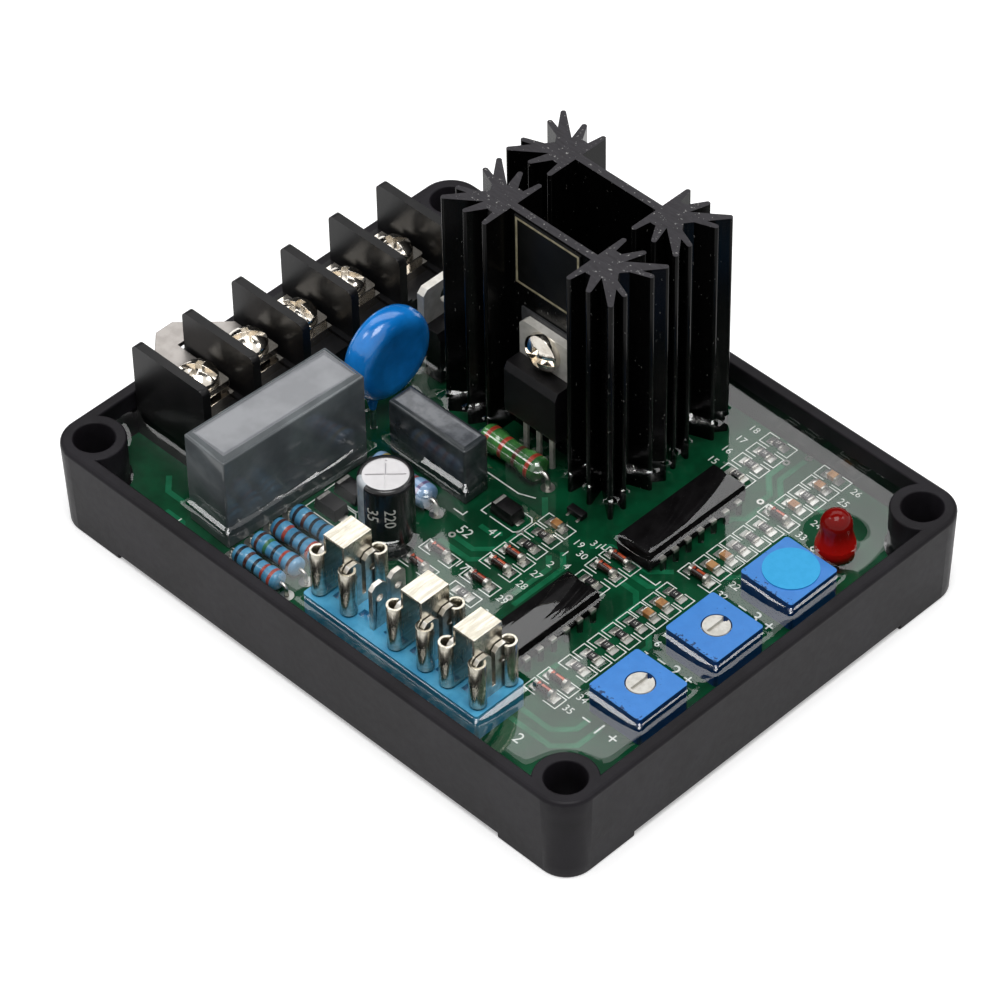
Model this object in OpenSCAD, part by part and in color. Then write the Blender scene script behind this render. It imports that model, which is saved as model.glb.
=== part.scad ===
// Generator voltage regulator: a circuit board potted in clear resin in a black moulded tray,
// with a screw terminal block, jumper links, trimmers and two finned heat sinks.
// Origin: middle of the tray's underside. X runs from the terminals to the trimmers, Z is up.

/* [Tray] */
// Mounting hole spacing along the long side
hole_pitch_x = 92; // [92:0.5:110]
// Mounting hole spacing along the short side
hole_pitch_y = 70; // [70:0.5:86]
// Mounting hole diameter
hole_d = 5.9; // [4:0.1:6.5]
// Outer corner radius at the rim, about each hole
corner_r = 4.85; // [4.85:0.05:7]
// How far the walls draw in from rim to base
wall_draft = 0.5; // [0:0.1:1]
// Tray height
tray_h = 15; // [12.5:0.5:22]
// Bevel on the rim's outer edge
rim_bevel = 0.4; // [0.2:0.1:0.8]
// Wall thickness at the rim
wall_t = 2; // [1.5:0.1:2.2]
// Floor thickness over the feet
floor_t = 2.6; // [2:0.1:4]
// Radius of the screw bosses
boss_r = 4.6; // [4.2:0.1:5]
// Width of the shoulder on each boss that carries the board
boss_shoulder = 1.9; // [1:0.1:3]
// Height of the corner feet
foot_h = 0.9; // [0.4:0.1:1.4]
// Length of each foot along the tray's sides
foot_l = 13.5; // [8:0.5:18]

/* [Board and resin] */
// Space under the board
board_gap = 3.3; // [2:0.1:5]
// Board thickness
board_t = 1.6; // [1:0.1:2]
// Gap between the board's edge and the tray
board_edge_gap = 0.4; // [0.2:0.05:0.8]
// Depth of resin over the board
resin_over_board = 3.3; // [2.8:0.1:3.5]
// How far the leads stand out under the board
lead_out = 1.4; // [0.5:0.1:1.9]
// Room round each lead in its board hole
lead_room = 0.3; // [0.1:0.05:0.4]

/* [Terminal block] */
// Number of terminals
terminals = 5; // [3:1:5]
// Terminal pitch
terminal_pitch = 9.5; // [9:0.1:9.6]
// Block depth from the wire side to the inner side
block_d = 14.6; // [14:0.1:15]
// Height of the block up to the contacts
block_floor_h = 8.5; // [7:0.1:10]
// Barrier height over the board
barrier_h = 17; // [15:0.5:20]
// Barrier thickness
barrier_t = 1.4; // [1:0.1:1.8]
// Rounding of the barriers' upper corners
barrier_r = 1; // [0.5:0.1:2]
// Contact strip thickness
contact_t = 1; // [0.6:0.1:1.2]
// Contact strip and clamp plate width
contact_w = 6.4; // [5.5:0.1:7]
// Clamp plate thickness
clamp_t = 1.1; // [0.8:0.1:1.4]
// Terminal screw diameter
terminal_screw_d = 3.5; // [3:0.1:3.8]
// Terminal screw head diameter
terminal_head_d = 6; // [5.4:0.1:6.4]
// Terminal screw head height
terminal_head_h = 2.4; // [1.8:0.1:2.8]
// Thickness of the link plate under the first two screws
link_plate_t = 0.8; // [0.5:0.1:1]
// How far the link plate stands out past the block
link_plate_out = 5; // [3:0.5:7]

/* [Heat sinks] */
// Heat sink height
sink_h = 40; // [34:0.5:50]
// Heat sink width over both fin clusters
sink_w = 32.3; // [31.5:0.1:34]
// Width of one fin cluster
star_w = 8.5; // [7.6:0.1:9]
// Depth of the fin clusters
star_d = 11.3; // [10.4:0.1:11.8]
// Radius of the solid core of a fin cluster
hub_r = 3; // [1.6:0.1:3.2]
// Offset towards the web of the point where the middle lines of the fins meet
hub_inset = 1.5; // [1.2:0.1:2]
// Thickness of a fin at its tip
fin_t = 0.8; // [0.6:0.05:1.1]
// Thickness of the flange fins where they meet the web
flange_root_t = 1.6; // [1.1:0.1:1.8]
// Thickness of the side fins at their root
side_fin_root_t = 2.3; // [1.5:0.1:2.6]
// Thickness of the corner fins at their root
corner_fin_root_t = 2.7; // [1.5:0.1:3]
// Thickness of the end fins at their root
end_fin_root_t = 1.2; // [0.9:0.1:1.6]
// Distance of the end fins' tips from the cluster's middle line
end_fin_y = 2.75; // [2.4:0.05:3.2]
// Web thickness between the clusters
web_t = 1.3; // [1:0.1:1.8]
// Distance between the two heat sinks' webs
sink_pitch = 13.4; // [13:0.1:15]

/* [Power devices] */
// Package width
device_w = 10; // [9.4:0.1:10.6]
// Height of the moulded body
device_body_h = 9.2; // [8.6:0.1:9.8]
// Body thickness with the tab
device_t = 4.5; // [4:0.1:5]
// Height of the body and tab together
device_h = 15.5; // [15:0.1:16.2]
// Tab thickness
tab_t = 1.3; // [1:0.1:1.5]
// Fixing hole height over the bottom of the body
device_hole_h = 12.5; // [12.3:0.1:13]
// Height of the bolted devices over the board
device_lift = 7.1; // [6:0.1:9]
// Insulating pad thickness
pad_t = 0.3; // [0.1:0.05:0.5]
// Fixing screw diameter
device_screw_d = 3; // [2.5:0.1:3.2]

/* [Capacitors and varistor] */
// Large film capacitor: width
film_large_w = 8.4; // [7:0.1:8.6]
// Large film capacitor: length
film_large_l = 25.8; // [20:0.1:26.4]
// Large film capacitor: height over the board
film_large_h = 16.8; // [12:0.1:20]
// Small film capacitor: length
film_small_l = 15.2; // [12:0.1:15.6]
// Small film capacitor: width
film_small_w = 4.6; // [3.5:0.1:5]
// Small film capacitor: height over the board
film_small_h = 10.5; // [8:0.1:14]
// Width of the film capacitors' case rim round the fill
film_rim_t = 0.7; // [0.4:0.05:1]
// Depth of the fill under that rim
film_fill_drop = 0.35; // [0.1:0.05:0.6]
// Varistor disc diameter
varistor_d = 14.6; // [12:0.2:15.4]
// Varistor disc thickness
varistor_t = 4.6; // [3.6:0.1:5]
// Height of the varistor's centre over the board
varistor_lift = 11.4; // [11:0.1:13]
// Electrolytic capacitor diameter with its sleeve
electrolytic_d = 8; // [6.5:0.1:8.2]
// Electrolytic capacitor height
electrolytic_h = 13; // [10:0.5:16]
// Sleeve thickness
sleeve_t = 0.2; // [0.1:0.05:0.3]

/* [Jumper block] */
// Tab pitch
tab_pitch = 4.95; // [4.8:0.05:5.1]
// Width over both prongs of a tab
tab_w = 6.3; // [6:0.1:6.4]
// Tab thickness
tab_t_blade = 0.8; // [0.6:0.05:0.85]
// Slot between the two prongs
tab_slot = 0.7; // [0.5:0.1:1]
// Height of the tabs over the board
tab_h = 12.5; // [12:0.1:14]
// Length of the header base past the end tabs
header_end = 1.9; // [1.5:0.1:2.2]
// Width of the header base
header_w = 9.2; // [8.6:0.1:9.4]
// Height of the header base over the board
header_h = 4.5; // [3.8:0.1:5]
// Sheet thickness of the push-on links
link_t = 0.4; // [0.3:0.05:0.45]
// Outer diameter of a link's rolled edges
roll_d = 2.5; // [2.4:0.05:2.7]
// Height of the links' bridge over the tabs
bridge_rise = 3.2; // [2:0.1:4]
// Clearance between a link and its tabs
link_room = 0.1; // [0.05:0.01:0.12]

/* [Trimmers and lamp] */
// Side of a square trimmer
trimmer_w = 9.5; // [9:0.1:10]
// Trimmer height
trimmer_h = 4.85; // [4.6:0.05:6]
// Distance between trimmers
trimmer_pitch = 14.85; // [13:0.05:15.2]
// Trimmer rotor diameter
rotor_d = 3.9; // [3:0.1:4.5]
// Rotor depth
rotor_depth = 2.4; // [1.5:0.1:3]
// Radial clearance round a rotor
rotor_room = 0.2; // [0.15:0.05:0.3]
// Diameter of the round seal over the third rotor
seal_d = 8; // [6:0.1:9]
// Lamp lens diameter
lamp_d = 5; // [4:0.1:5]
// Height of the lamp's flange over the board
lamp_lift = 2.4; // [1:0.1:3]
// Height of the lamp from its flange to the top of its dome
lamp_h = 7.5; // [6.5:0.1:9]

/* [Chips and small parts] */
// Chip body width
chip_w = 6.35; // [6:0.05:6.6]
// Chip body length
chip_l = 19.3; // [18:0.1:19.4]
// Chip body thickness
chip_t = 3.1; // [2.8:0.1:3.5]
// Height of the chips over the board
chip_standoff = 0.5; // [0.3:0.1:0.8]
// Chip pins on each side
chip_pins = 7; // [4:1:7]
// Pin pitch of the chips
pin_pitch = 2.54; // [2.5:0.01:2.56]
// Film resistor diameter
resistor_d = 2.9; // [2.2:0.1:3]
// Film resistor body length
resistor_l = 8.8; // [6:0.1:9]
// Power resistor diameter
power_resistor_d = 3.8; // [3:0.1:4]
// Power resistor body length
power_resistor_l = 11; // [9:0.1:11.4]
// Choke diameter
choke_d = 4; // [3:0.1:4.2]
// Choke body length
choke_l = 11.2; // [9:0.1:11.4]
// Length of the small surface-mounted resistors and capacitors
smd_l = 2; // [1.6:0.05:3.2]
// Width of the small surface-mounted resistors and capacitors
smd_w = 1.25; // [0.8:0.05:1.6]
// Thickness of the surface-mounted resistors
smd_resistor_t = 0.55; // [0.4:0.05:0.7]
// Thickness of the surface-mounted capacitors
smd_capacitor_t = 0.9; // [0.6:0.05:1.25]
// Glass diode diameter
glass_diode_d = 1.4; // [1:0.1:1.6]
// Glass diode length
glass_diode_l = 3.4; // [3:0.1:3.6]
// Moulded diode length
moulded_diode_l = 4.4; // [4:0.1:4.6]
// Moulded diode width
moulded_diode_w = 2.7; // [2.4:0.1:2.9]
// Moulded diode thickness
moulded_diode_t = 2.1; // [1.8:0.1:2.4]

/* [Hidden] */
$fn = 48;

// How far a cutting solid reaches past the face that it cuts
cut = 0.5;
hx = hole_pitch_x / 2;
hy = hole_pitch_y / 2;
cavity_x = hole_pitch_x + 2 * (corner_r - wall_t);
cavity_y = hole_pitch_y + 2 * (corner_r - wall_t);
feet_apart = 2 * (corner_r - foot_l);
board_bottom = floor_t + board_gap;
board_top = board_bottom + board_t;
board_x = cavity_x - 2 * board_edge_gap;
board_y = cavity_y - 2 * board_edge_gap;
lead_drop = board_t + lead_out;

// Places on the board: X and Y from the middle of the tray
block_edge_gap = 0.05;
block_x = -(board_x - block_d) / 2 + block_edge_gap;
block_y = -0.55;
sink_front_at = [-4.3, 14.4];
sink_stagger = 0.7;
sink_rear_at = [sink_front_at[0] - sink_stagger, sink_front_at[1] + sink_pitch];
upright_device_at = [-28.9, 16.6];
film_large_at = [-25.6, -19.1];
film_large_turn = -2.6;
film_small_at = [-12.2, -0.95];
varistor_at = [-26, 2.7];
electrolytic_at = [-7.3, -15.7];
tabs = 7;
link_first_tabs = [0, 3, 5];
tab_row_at = [-3.45, -28.9];
header_shift = -0.25;
trimmer_row_at = [39.55, -14.6];
rotor_shift = 0.4;
lamp_shift = 0.35;
lamp_past_trimmers = 9.1;
lamp_at = [trimmer_row_at[0] + lamp_shift,
    trimmer_row_at[1] + 2 * trimmer_pitch + lamp_past_trimmers];
chip_front_at = [20, -14.6];
chip_rear_at = [20, 14.5];
film_resistor_at = [-15.3, -32.7];
film_resistor_pitch = 3.65;
film_resistor_count = 4;
power_resistor_at = [-13, -7.2];
choke_at = [-5.6, 7.3];
transistor_at = [7.8, 6.3];
row_a = 7.4;
row_b = 18.5;
row_c = 28.5;
smd_resistor_at = [[row_a, 0], [row_a, -2.9], [row_a, -15.7], [row_b, -2], [row_c, 4.3],
    [row_c, -3.6], [row_c, -6.4], [row_c, -9.2], [row_c, -12], [row_c, -14.8], [row_c, 17],
    [row_c, 19.7], [row_c, 22.4], [row_c, 31], [row_b, 27.4], [row_b, 30.3], [row_b, 33.2],
    [row_b, 36]];
smd_capacitor_at = [[row_a, 2.7], [row_c, 1.6], [row_c, -1], [row_c, 11.7], [row_c, 14.4],
    [row_c, 28.3], [row_c, 33.7], [row_c, 36.4]];
glass_diode_at = [[row_a, -5.7], [row_a, -8.5], [row_a, -12.4], [row_b, 1], [row_b, 3.8],
    [row_c, 9.1], [row_c, 25.2], [row_c, -18.5], [row_c, -21.2], [-0.5, -12.4], [-1, -16.1]];
moulded_diode_at = [[0.9, -0.5], [-17.3, -17], [-17.6, -12.9]];

// Terminal block levels over the board, and lead places of each part
film_lead_inset = 1.6;
contact_top = block_floor_h + contact_t;
terminal_y = [for (i = [0 : terminals - 1]) (i - (terminals - 1) / 2) * terminal_pitch];
barrier_y = [for (i = [0 : terminals]) (i - terminals / 2) * terminal_pitch];
block_w = terminals * terminal_pitch + barrier_t;
film_large_leads = [for (s = [-1, 1]) [0, s * (film_large_l / 2 - film_lead_inset)]];
film_small_leads = [for (s = [-1, 1]) [s * (film_small_l / 2 - film_lead_inset), 0]];
varistor_lead_pitch = 7.5;
varistor_lead_offset = 0.7;
varistor_leads = [for (s = [-1, 1]) [-s * varistor_lead_offset, s * varistor_lead_pitch / 2]];
electrolytic_lead_pitch = 3.5;
electrolytic_leads = [for (s = [-1, 1]) [s * electrolytic_lead_pitch / 2, 0]];
lamp_lead_pitch = 2.54;
lamp_leads = [for (s = [-1, 1]) [s * lamp_lead_pitch / 2, 0]];
trimmer_lead_step = 2.54;
trimmer_leads = trimmer_lead_step * [[-1, -1], [1, 0], [-1, 1]];
lead_d = 0.8;
thin_lead_d = 0.6;
tab_pin = [0.8, 1];

// A rectangle with round corners, flat in the XY plane
module rounded_rect(w, d, r) {
    square([w - 2 * r, d], center = true);
    square([w, d - 2 * r], center = true);
    for (sx = [-1, 1], sy = [-1, 1])
        translate([sx * (w / 2 - r), sy * (d / 2 - r)])
            circle(r = r);
}

// Round leads that start at height rise over the board and end under it
module round_leads(points, d, rise) {
    for (p = points)
        translate([p[0], p[1], -lead_drop])
            cylinder(d = d, h = lead_drop + rise);
}

module on_board(at) {
    translate([at[0], at[1], board_top])
        children();
}

module at_corners() {
    for (sx = [-1, 1], sy = [-1, 1])
        translate([sx * hx, sy * hy, 0])
            children();
}

// Walls that draw in towards the base, with cone corners about the holes
module drafted_block(h, r_low, r_high) {
    rotate([90, 0, 90])
        linear_extrude(hole_pitch_x, center = true)
            polygon([[-hy - r_low, 0], [hy + r_low, 0], [hy + r_high, h], [-hy - r_high, h]]);
    rotate([90, 0, 0])
        linear_extrude(hole_pitch_y, center = true)
            polygon([[-hx - r_low, 0], [hx + r_low, 0], [hx + r_high, h], [-hx - r_high, h]]);
    at_corners()
        cylinder(h = h, r1 = r_low, r2 = r_high);
}

// The tray's inside in plan, left clear of round corner pillars
module cavity_plan(pillar_r) {
    difference() {
        square([cavity_x, cavity_y], center = true);
        for (sx = [-1, 1], sy = [-1, 1])
            translate([sx * hx, sy * hy])
                circle(r = pillar_r);
    }
}

module tray() {
    color("#262528")
        difference() {
            union() {
                drafted_block(tray_h - rim_bevel, corner_r - wall_draft, corner_r);
                translate([0, 0, tray_h - rim_bevel])
                    drafted_block(rim_bevel, corner_r, corner_r - rim_bevel);
            }
            translate([0, 0, floor_t])
                linear_extrude(board_gap)
                    cavity_plan(boss_r + boss_shoulder);
            translate([0, 0, board_bottom])
                linear_extrude(tray_h)
                    cavity_plan(boss_r);
            at_corners()
                translate([0, 0, -cut])
                    cylinder(d = hole_d, h = tray_h + 2 * cut);
            translate([0, 0, foot_h - (foot_h + cut) / 2]) {
                cube([hole_pitch_x + feet_apart, 2 * hole_pitch_y, foot_h + cut], center = true);
                cube([2 * hole_pitch_x, hole_pitch_y + feet_apart, foot_h + cut], center = true);
            }
        }
}

// Every lead that passes through the board, each wider by room
module all_leads(room) {
    at_film_large()
        round_leads(film_large_leads, lead_d + room, 0);
    on_board(film_small_at)
        round_leads(film_small_leads, lead_d + room, 0);
    on_board(varistor_at)
        round_leads(varistor_leads, lead_d + room, 0);
    on_board(electrolytic_at)
        round_leads(electrolytic_leads, thin_lead_d + room, 0);
    on_board(lamp_at)
        round_leads(lamp_leads, thin_lead_d + room, 0);
    for (i = [0 : 2])
        at_trimmer(i)
            round_leads(trimmer_leads, thin_lead_d + room, 0);
    for (i = [0 : film_resistor_count - 1])
        at_film_resistor(i)
            round_leads(axial_lead_points(resistor_l), thin_lead_d + room, 0);
    on_board(power_resistor_at)
        round_leads(axial_lead_points(power_resistor_l), lead_d + room, 0);
    on_board(choke_at)
        round_leads(axial_lead_points(choke_l), lead_d + room, 0);
    at_terminals()
        round_leads([[contact_pin_x, 0]], contact_t + room, 0);
}

// Round board holes for the square pins of chips, tabs and power devices
module square_pin_holes() {
    for (at = [chip_front_at, chip_rear_at])
        on_board(at)
            at_chip_pins()
                round_leads([[0, 0]], norm(chip_pin) + lead_room, 0);
    for (i = [0 : tabs - 1], s = [-1, 1])
        at_tab(i)
            round_leads([[0, s * tab_w / 4]], norm(tab_pin) + lead_room, 0);
    at_devices()
        round_leads(device_lead_points, norm(device_lead) + lead_room, 0);
}

module board_slab() {
    translate([0, 0, board_bottom])
        linear_extrude(board_t)
            difference() {
                square([board_x, board_y], center = true);
                for (sx = [-1, 1], sy = [-1, 1])
                    translate([sx * hx, sy * hy])
                        circle(r = boss_r + board_edge_gap);
            }
}

module circuit_board() {
    color("#0c5a34")
        difference() {
            board_slab();
            all_leads(lead_room);
            square_pin_holes();
        }
}

// Clear resin: fills the tray round the board and every part that stands in it
module potting_resin() {
    color("#9fc4ae", 0.5)
        difference() {
            union() {
                translate([0, 0, floor_t])
                    linear_extrude(board_gap)
                        cavity_plan(boss_r + boss_shoulder);
                translate([0, 0, board_bottom])
                    linear_extrude(board_t + resin_over_board)
                        cavity_plan(boss_r);
            }
            board_slab();
            all_leads(0);
            square_leads();
            standing_parts();
            sunken_parts();
        }
}

// What stands in the resin and rises out of it
module standing_parts() {
    at_block()
        translate([-block_d / 2, -block_w / 2, 0])
            cube([block_d, block_w, block_floor_h]);
    at_film_large()
        film_box(film_large_w, film_large_l, film_large_h);
    on_board(film_small_at)
        film_box(film_small_l, film_small_w, film_small_h);
    on_board(varistor_at)
        round_leads(varistor_leads, lead_d, resin_over_board + cut);
    on_board(electrolytic_at)
        cylinder(d = electrolytic_d, h = electrolytic_h);
    on_board(sink_front_at)
        linear_extrude(sink_h)
            sink_plan();
    on_board(sink_rear_at)
        linear_extrude(sink_h)
            sink_plan();
    at_upright_device()
        device_outline();
    at_header()
        header_block();
    for (i = [0 : 2])
        at_trimmer(i)
            trimmer_block();
    on_board(lamp_at)
        lamp_solid();
    for (at = [chip_front_at, chip_rear_at])
        on_board(at)
            chip_block();
}

// What lies under the resin
module sunken_parts() {
    for (i = [0 : film_resistor_count - 1])
        at_film_resistor(i) {
            axial_body(resistor_d, resistor_l);
            axial_leads(resistor_d, resistor_l, thin_lead_d);
        }
    on_board(power_resistor_at) {
        axial_body(power_resistor_d, power_resistor_l);
        axial_leads(power_resistor_d, power_resistor_l, lead_d);
    }
    on_board(choke_at) {
        axial_body(choke_d, choke_l);
        axial_leads(choke_d, choke_l, lead_d);
    }
    smd_boxes(smd_resistor_at, [smd_l, smd_w, smd_resistor_t]);
    smd_boxes(smd_capacitor_at, [smd_l, smd_w, smd_capacitor_t]);
    smd_boxes(moulded_diode_at, [moulded_diode_l, moulded_diode_w, moulded_diode_t]);
    diode_rods();
    on_board(transistor_at)
        transistor_solid();
}

// Square pins of chips, tabs and power devices, from above the resin to under the board
module square_leads() {
    for (at = [chip_front_at, chip_rear_at])
        on_board(at)
            chip_pin_set();
    for (i = [0 : tabs - 1])
        at_tab(i)
            tab_pins();
    at_devices()
        device_leads(device_lift);
}

/* Terminal block */
module at_block() {
    translate([block_x, block_y, board_top])
        children();
}

module at_terminals() {
    for (y = terminal_y)
        translate([block_x, block_y + y, board_top])
            children();
}

// Outline of the strip contact from the side: it lies on the block and turns down at its inner end
contact_l = 9.4;
contact_turn = 1.6;
contact_inner = 3.9;
contact_pin_x = contact_inner - contact_t / 2;

module contact_side() {
    translate([contact_inner - contact_l, block_floor_h])
        square([contact_l, contact_t]);
    translate([contact_inner - contact_t, contact_top - contact_turn])
        square([contact_t, contact_turn]);
}

module terminal_block() {
    color("#1b1a1b")
        at_block()
            difference() {
                union() {
                    translate([-block_d / 2, -block_w / 2, 0])
                        cube([block_d, block_w, block_floor_h]);
                    for (y = barrier_y)
                        translate([0, y + barrier_t / 2, barrier_h / 2])
                            rotate([90, 0, 0])
                                linear_extrude(barrier_t)
                                    barrier_side();
                }
                for (y = terminal_y) {
                    translate([contact_pin_x, y, -cut])
                        cylinder(d = contact_t, h = block_floor_h);
                    translate([0, y, block_floor_h - terminal_well])
                        cylinder(d = terminal_screw_d + terminal_room, h = block_floor_h);
                    translate([contact_inner - contact_t, y - contact_w / 2, contact_top - contact_turn])
                        cube([block_d, contact_w, block_floor_h]);
                }
            }
}

terminal_well = 4.2;
terminal_room = 0.4;

module barrier_side() {
    translate([0, -barrier_r / 2])
        square([block_d, barrier_h - barrier_r], center = true);
    translate([0, barrier_h / 2 - barrier_r / 2])
        square([block_d - 2 * barrier_r, barrier_r], center = true);
    for (s = [-1, 1])
        translate([s * (block_d / 2 - barrier_r), barrier_h / 2 - barrier_r])
            circle(r = barrier_r);
}

module terminal_contacts() {
    color("#b9b4a6")
        at_terminals() {
            difference() {
                translate([0, contact_w / 2, 0])
                    rotate([90, 0, 0])
                        linear_extrude(contact_w)
                            contact_side();
                translate([0, 0, block_floor_h - cut])
                    cylinder(d = terminal_screw_d + terminal_room, h = contact_t + 2 * cut);
            }
            round_leads([[contact_pin_x, 0]], contact_t, block_floor_h);
        }
}

// Height of the clamp plate over the contact: the link plate lies under the first two
function clamp_base(i) = contact_top + (i < 2 ? link_plate_t : 0);

module at_clamp(i) {
    translate([block_x, block_y + terminal_y[i], board_top + clamp_base(i)])
        children();
}

clamp_l = 6.4;
clamp_edge_r = 0.5;

module clamp_plates() {
    color("#c9c6bd")
        for (i = [0 : terminals - 1])
            at_clamp(i)
                linear_extrude(clamp_t)
                    difference() {
                        rounded_rect(clamp_l, contact_w, clamp_edge_r);
                        circle(d = terminal_screw_d + terminal_room);
                    }
}

// Pan head with a cross and slot recess: a low cylinder under a shallow dome
head_rim_share = 0.45;
recess_w_share = 0.17;
cross_share = 0.55;

module pan_screw(d, head_d, head_h, reach) {
    rim = head_h * head_rim_share;
    rise = head_h - rim;
    dome_r = ((head_d / 2) ^ 2 + rise ^ 2) / (2 * rise);
    difference() {
        union() {
            rotate_extrude() {
                square([head_d / 2, rim]);
                intersection() {
                    translate([0, head_h - dome_r])
                        circle(r = dome_r, $fn = 96);
                    translate([0, rim])
                        square([head_d / 2, rise]);
                }
            }
            translate([0, 0, -reach])
                cylinder(d = d, h = reach + rim / 2);
        }
        translate([0, 0, head_h]) {
            cube([head_d + cut, head_d * recess_w_share, head_h], center = true);
            cube([head_d * recess_w_share, head_d * cross_share, head_h], center = true);
        }
    }
}

module terminal_screws() {
    color("#d8d2c4")
        for (i = [0 : terminals - 1])
            at_clamp(i)
                translate([0, 0, clamp_t])
                    rotate(screw_turn[i])
                        pan_screw(terminal_screw_d, terminal_head_d, terminal_head_h,
                            clamp_base(i) + clamp_t - block_floor_h + terminal_well - cut);
}

screw_turn = [25, 62, 8, 40, 75];

// Link plate: a fork under each of the first two screws, joined outside the barrier between them
link_nose_w = 3.2;
link_leg_end = 2.6;
link_side_gap = 0.9;
fork_room = 0.4;

module terminal_link_plate() {
    color("#d6d3cd")
        translate([block_x, block_y + barrier_y[1], board_top + contact_top])
            linear_extrude(link_plate_t)
                difference() {
                    polygon(link_outline());
                    translate([-block_d / 2 - link_side_gap, -barrier_t / 2 - fork_room])
                        square([block_d * 2, barrier_t + 2 * fork_room]);
                    for (s = [-1, 1])
                        translate([0, s * terminal_pitch / 2]) {
                            circle(d = terminal_screw_d + fork_room);
                            translate([0, -(terminal_screw_d + fork_room) / 2])
                                square([block_d, terminal_screw_d + fork_room]);
                        }
                }
}

function link_outline() =
    let (half = terminal_pitch - barrier_t / 2 - link_side_gap,
        nose = -block_d / 2 - link_plate_out,
        slope = half - link_nose_w / 2)
    [[nose, -link_nose_w / 2], [nose + slope, -half], [link_leg_end, -half],
        [link_leg_end, half], [nose + slope, half], [nose, link_nose_w / 2]];

/* Capacitors and varistor */
module at_film_large() {
    on_board(film_large_at)
        rotate(film_large_turn)
            children();
}

film_edge_r = 0.6;

module film_box(w, d, h) {
    linear_extrude(h)
        rounded_rect(w, d, film_edge_r);
}

// A filled case: the fill lies a little under the rim
module film_case(w, d, h) {
    difference() {
        film_box(w, d, h);
        translate([0, 0, h - film_fill_drop])
            linear_extrude(h)
                rounded_rect(w - 2 * film_rim_t, d - 2 * film_rim_t, film_edge_r);
    }
}

module film_capacitor_large() {
    color("#6d7075")
        at_film_large() {
            film_case(film_large_w, film_large_l, film_large_h);
            round_leads(film_large_leads, lead_d, cut);
        }
}

module film_capacitor_small() {
    color("#4c4f55")
        on_board(film_small_at) {
            film_case(film_small_l, film_small_w, film_small_h);
            round_leads(film_small_leads, lead_d, cut);
        }
}

// A dipped disc, round at its rim, with two leads
module varistor() {
    color("#1279c6")
        on_board(varistor_at) {
            translate([0, 0, varistor_lift])
                rotate([0, 90, 0])
                    rotate_extrude() {
                        translate([0, -varistor_t / 2])
                            square([varistor_d / 2 - varistor_t / 2, varistor_t]);
                        translate([varistor_d / 2 - varistor_t / 2, 0])
                            intersection() {
                                circle(d = varistor_t);
                                translate([0, -varistor_t])
                                    square(2 * varistor_t);
                            }
                    }
            round_leads(varistor_leads, lead_d, varistor_lift - varistor_d / 2 + varistor_t / 2);
        }
}

can_bead_h = 1.6;
can_bead_depth = 0.35;
can_bead_r = 0.52;
can_top_recess = 0.3;
can_score_w = 0.25;
can_score_margin = 0.95;
sleeve_lap = 0.7;

module electrolytic_can() {
    can_r = electrolytic_d / 2 - sleeve_t;
    score = [2 * (can_r - can_score_margin), can_score_w, can_top_recess];
    color("#c9c9cc")
        on_board(electrolytic_at) {
            difference() {
                cylinder(r = can_r, h = electrolytic_h);
                for (a = [45, 135])
                    rotate(a)
                        translate([0, 0, electrolytic_h])
                            cube(score, center = true);
                translate([0, 0, can_bead_h])
                    rotate_extrude()
                        translate([can_r + can_bead_r - can_bead_depth, 0])
                            circle(r = can_bead_r);
            }
            round_leads(electrolytic_leads, thin_lead_d, cut);
        }
}

module electrolytic_sleeve() {
    color("#141416")
        on_board(electrolytic_at)
            difference() {
                cylinder(d = electrolytic_d, h = electrolytic_h + sleeve_t);
                translate([0, 0, -cut])
                    cylinder(r = electrolytic_d / 2 - sleeve_t, h = electrolytic_h + cut);
                cylinder(r = electrolytic_d / 2 - sleeve_lap, h = electrolytic_h + 2 * cut);
            }
}

/* Heat sinks and power devices */
// One tapered fin from its root to a tip point, round at its end
module fin(from, tip, root_t) {
    way = tip - from;
    reach = norm(way) - fin_t / 2;
    translate(from)
        rotate(atan2(way[1], way[0])) {
            polygon([[0, -root_t / 2], [reach, -fin_t / 2], [reach, fin_t / 2], [0, root_t / 2]]);
            translate([reach, 0])
                circle(d = fin_t);
        }
}

// Flange fin: its outer face is square to the web, and its inner face tapers to a round tip
module flange_fin(near) {
    reach = (star_d - fin_t) / 2;
    polygon([[near, 0], [near + flange_root_t, 0], [near + fin_t, reach], [near, reach]]);
    translate([near + fin_t / 2, reach])
        circle(d = fin_t);
}

// Places of the core and of the fins' roots, from the point where the middle lines of the fins meet
core_shift = 1.15;
side_fin_shift = 1.1;
corner_fin_shift = 0.1;
end_fin_rise = 0.75;

// Eight fins round a core; the web comes in from the left
module fin_cluster() {
    near = hub_inset - star_w / 2;
    far = hub_inset + star_w / 2;
    intersection() {
        translate([-core_shift, 0])
            circle(r = hub_r);
        translate([near, -star_d / 2])
            square([star_w, star_d]);
    }
    for (side = [0, 1])
        mirror([0, side]) {
            flange_fin(near);
            fin([-side_fin_shift, 0], [hub_inset, star_d / 2], side_fin_root_t);
            fin([corner_fin_shift, 0], [far, star_d / 2], corner_fin_root_t);
            fin([0, end_fin_rise], [far, end_fin_y], end_fin_root_t);
        }
}

module sink_plan() {
    hub_x = (sink_w - star_w) / 2 - hub_inset;
    square([2 * hub_x, web_t], center = true);
    translate([hub_x, 0])
        fin_cluster();
    translate([-hub_x, 0])
        rotate(180)
            fin_cluster();
}

device_screw_room = 0.3;
device_x = 0.3;

module heat_sink(at) {
    on_board(at)
        difference() {
            linear_extrude(sink_h)
                sink_plan();
            translate([device_x, web_t, device_lift + device_hole_h])
                rotate([90, 0, 0])
                    cylinder(d = device_screw_d + device_screw_room, h = 2 * web_t);
        }
}

module heat_sink_front() {
    color("#101011")
        heat_sink(sink_front_at);
}

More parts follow.
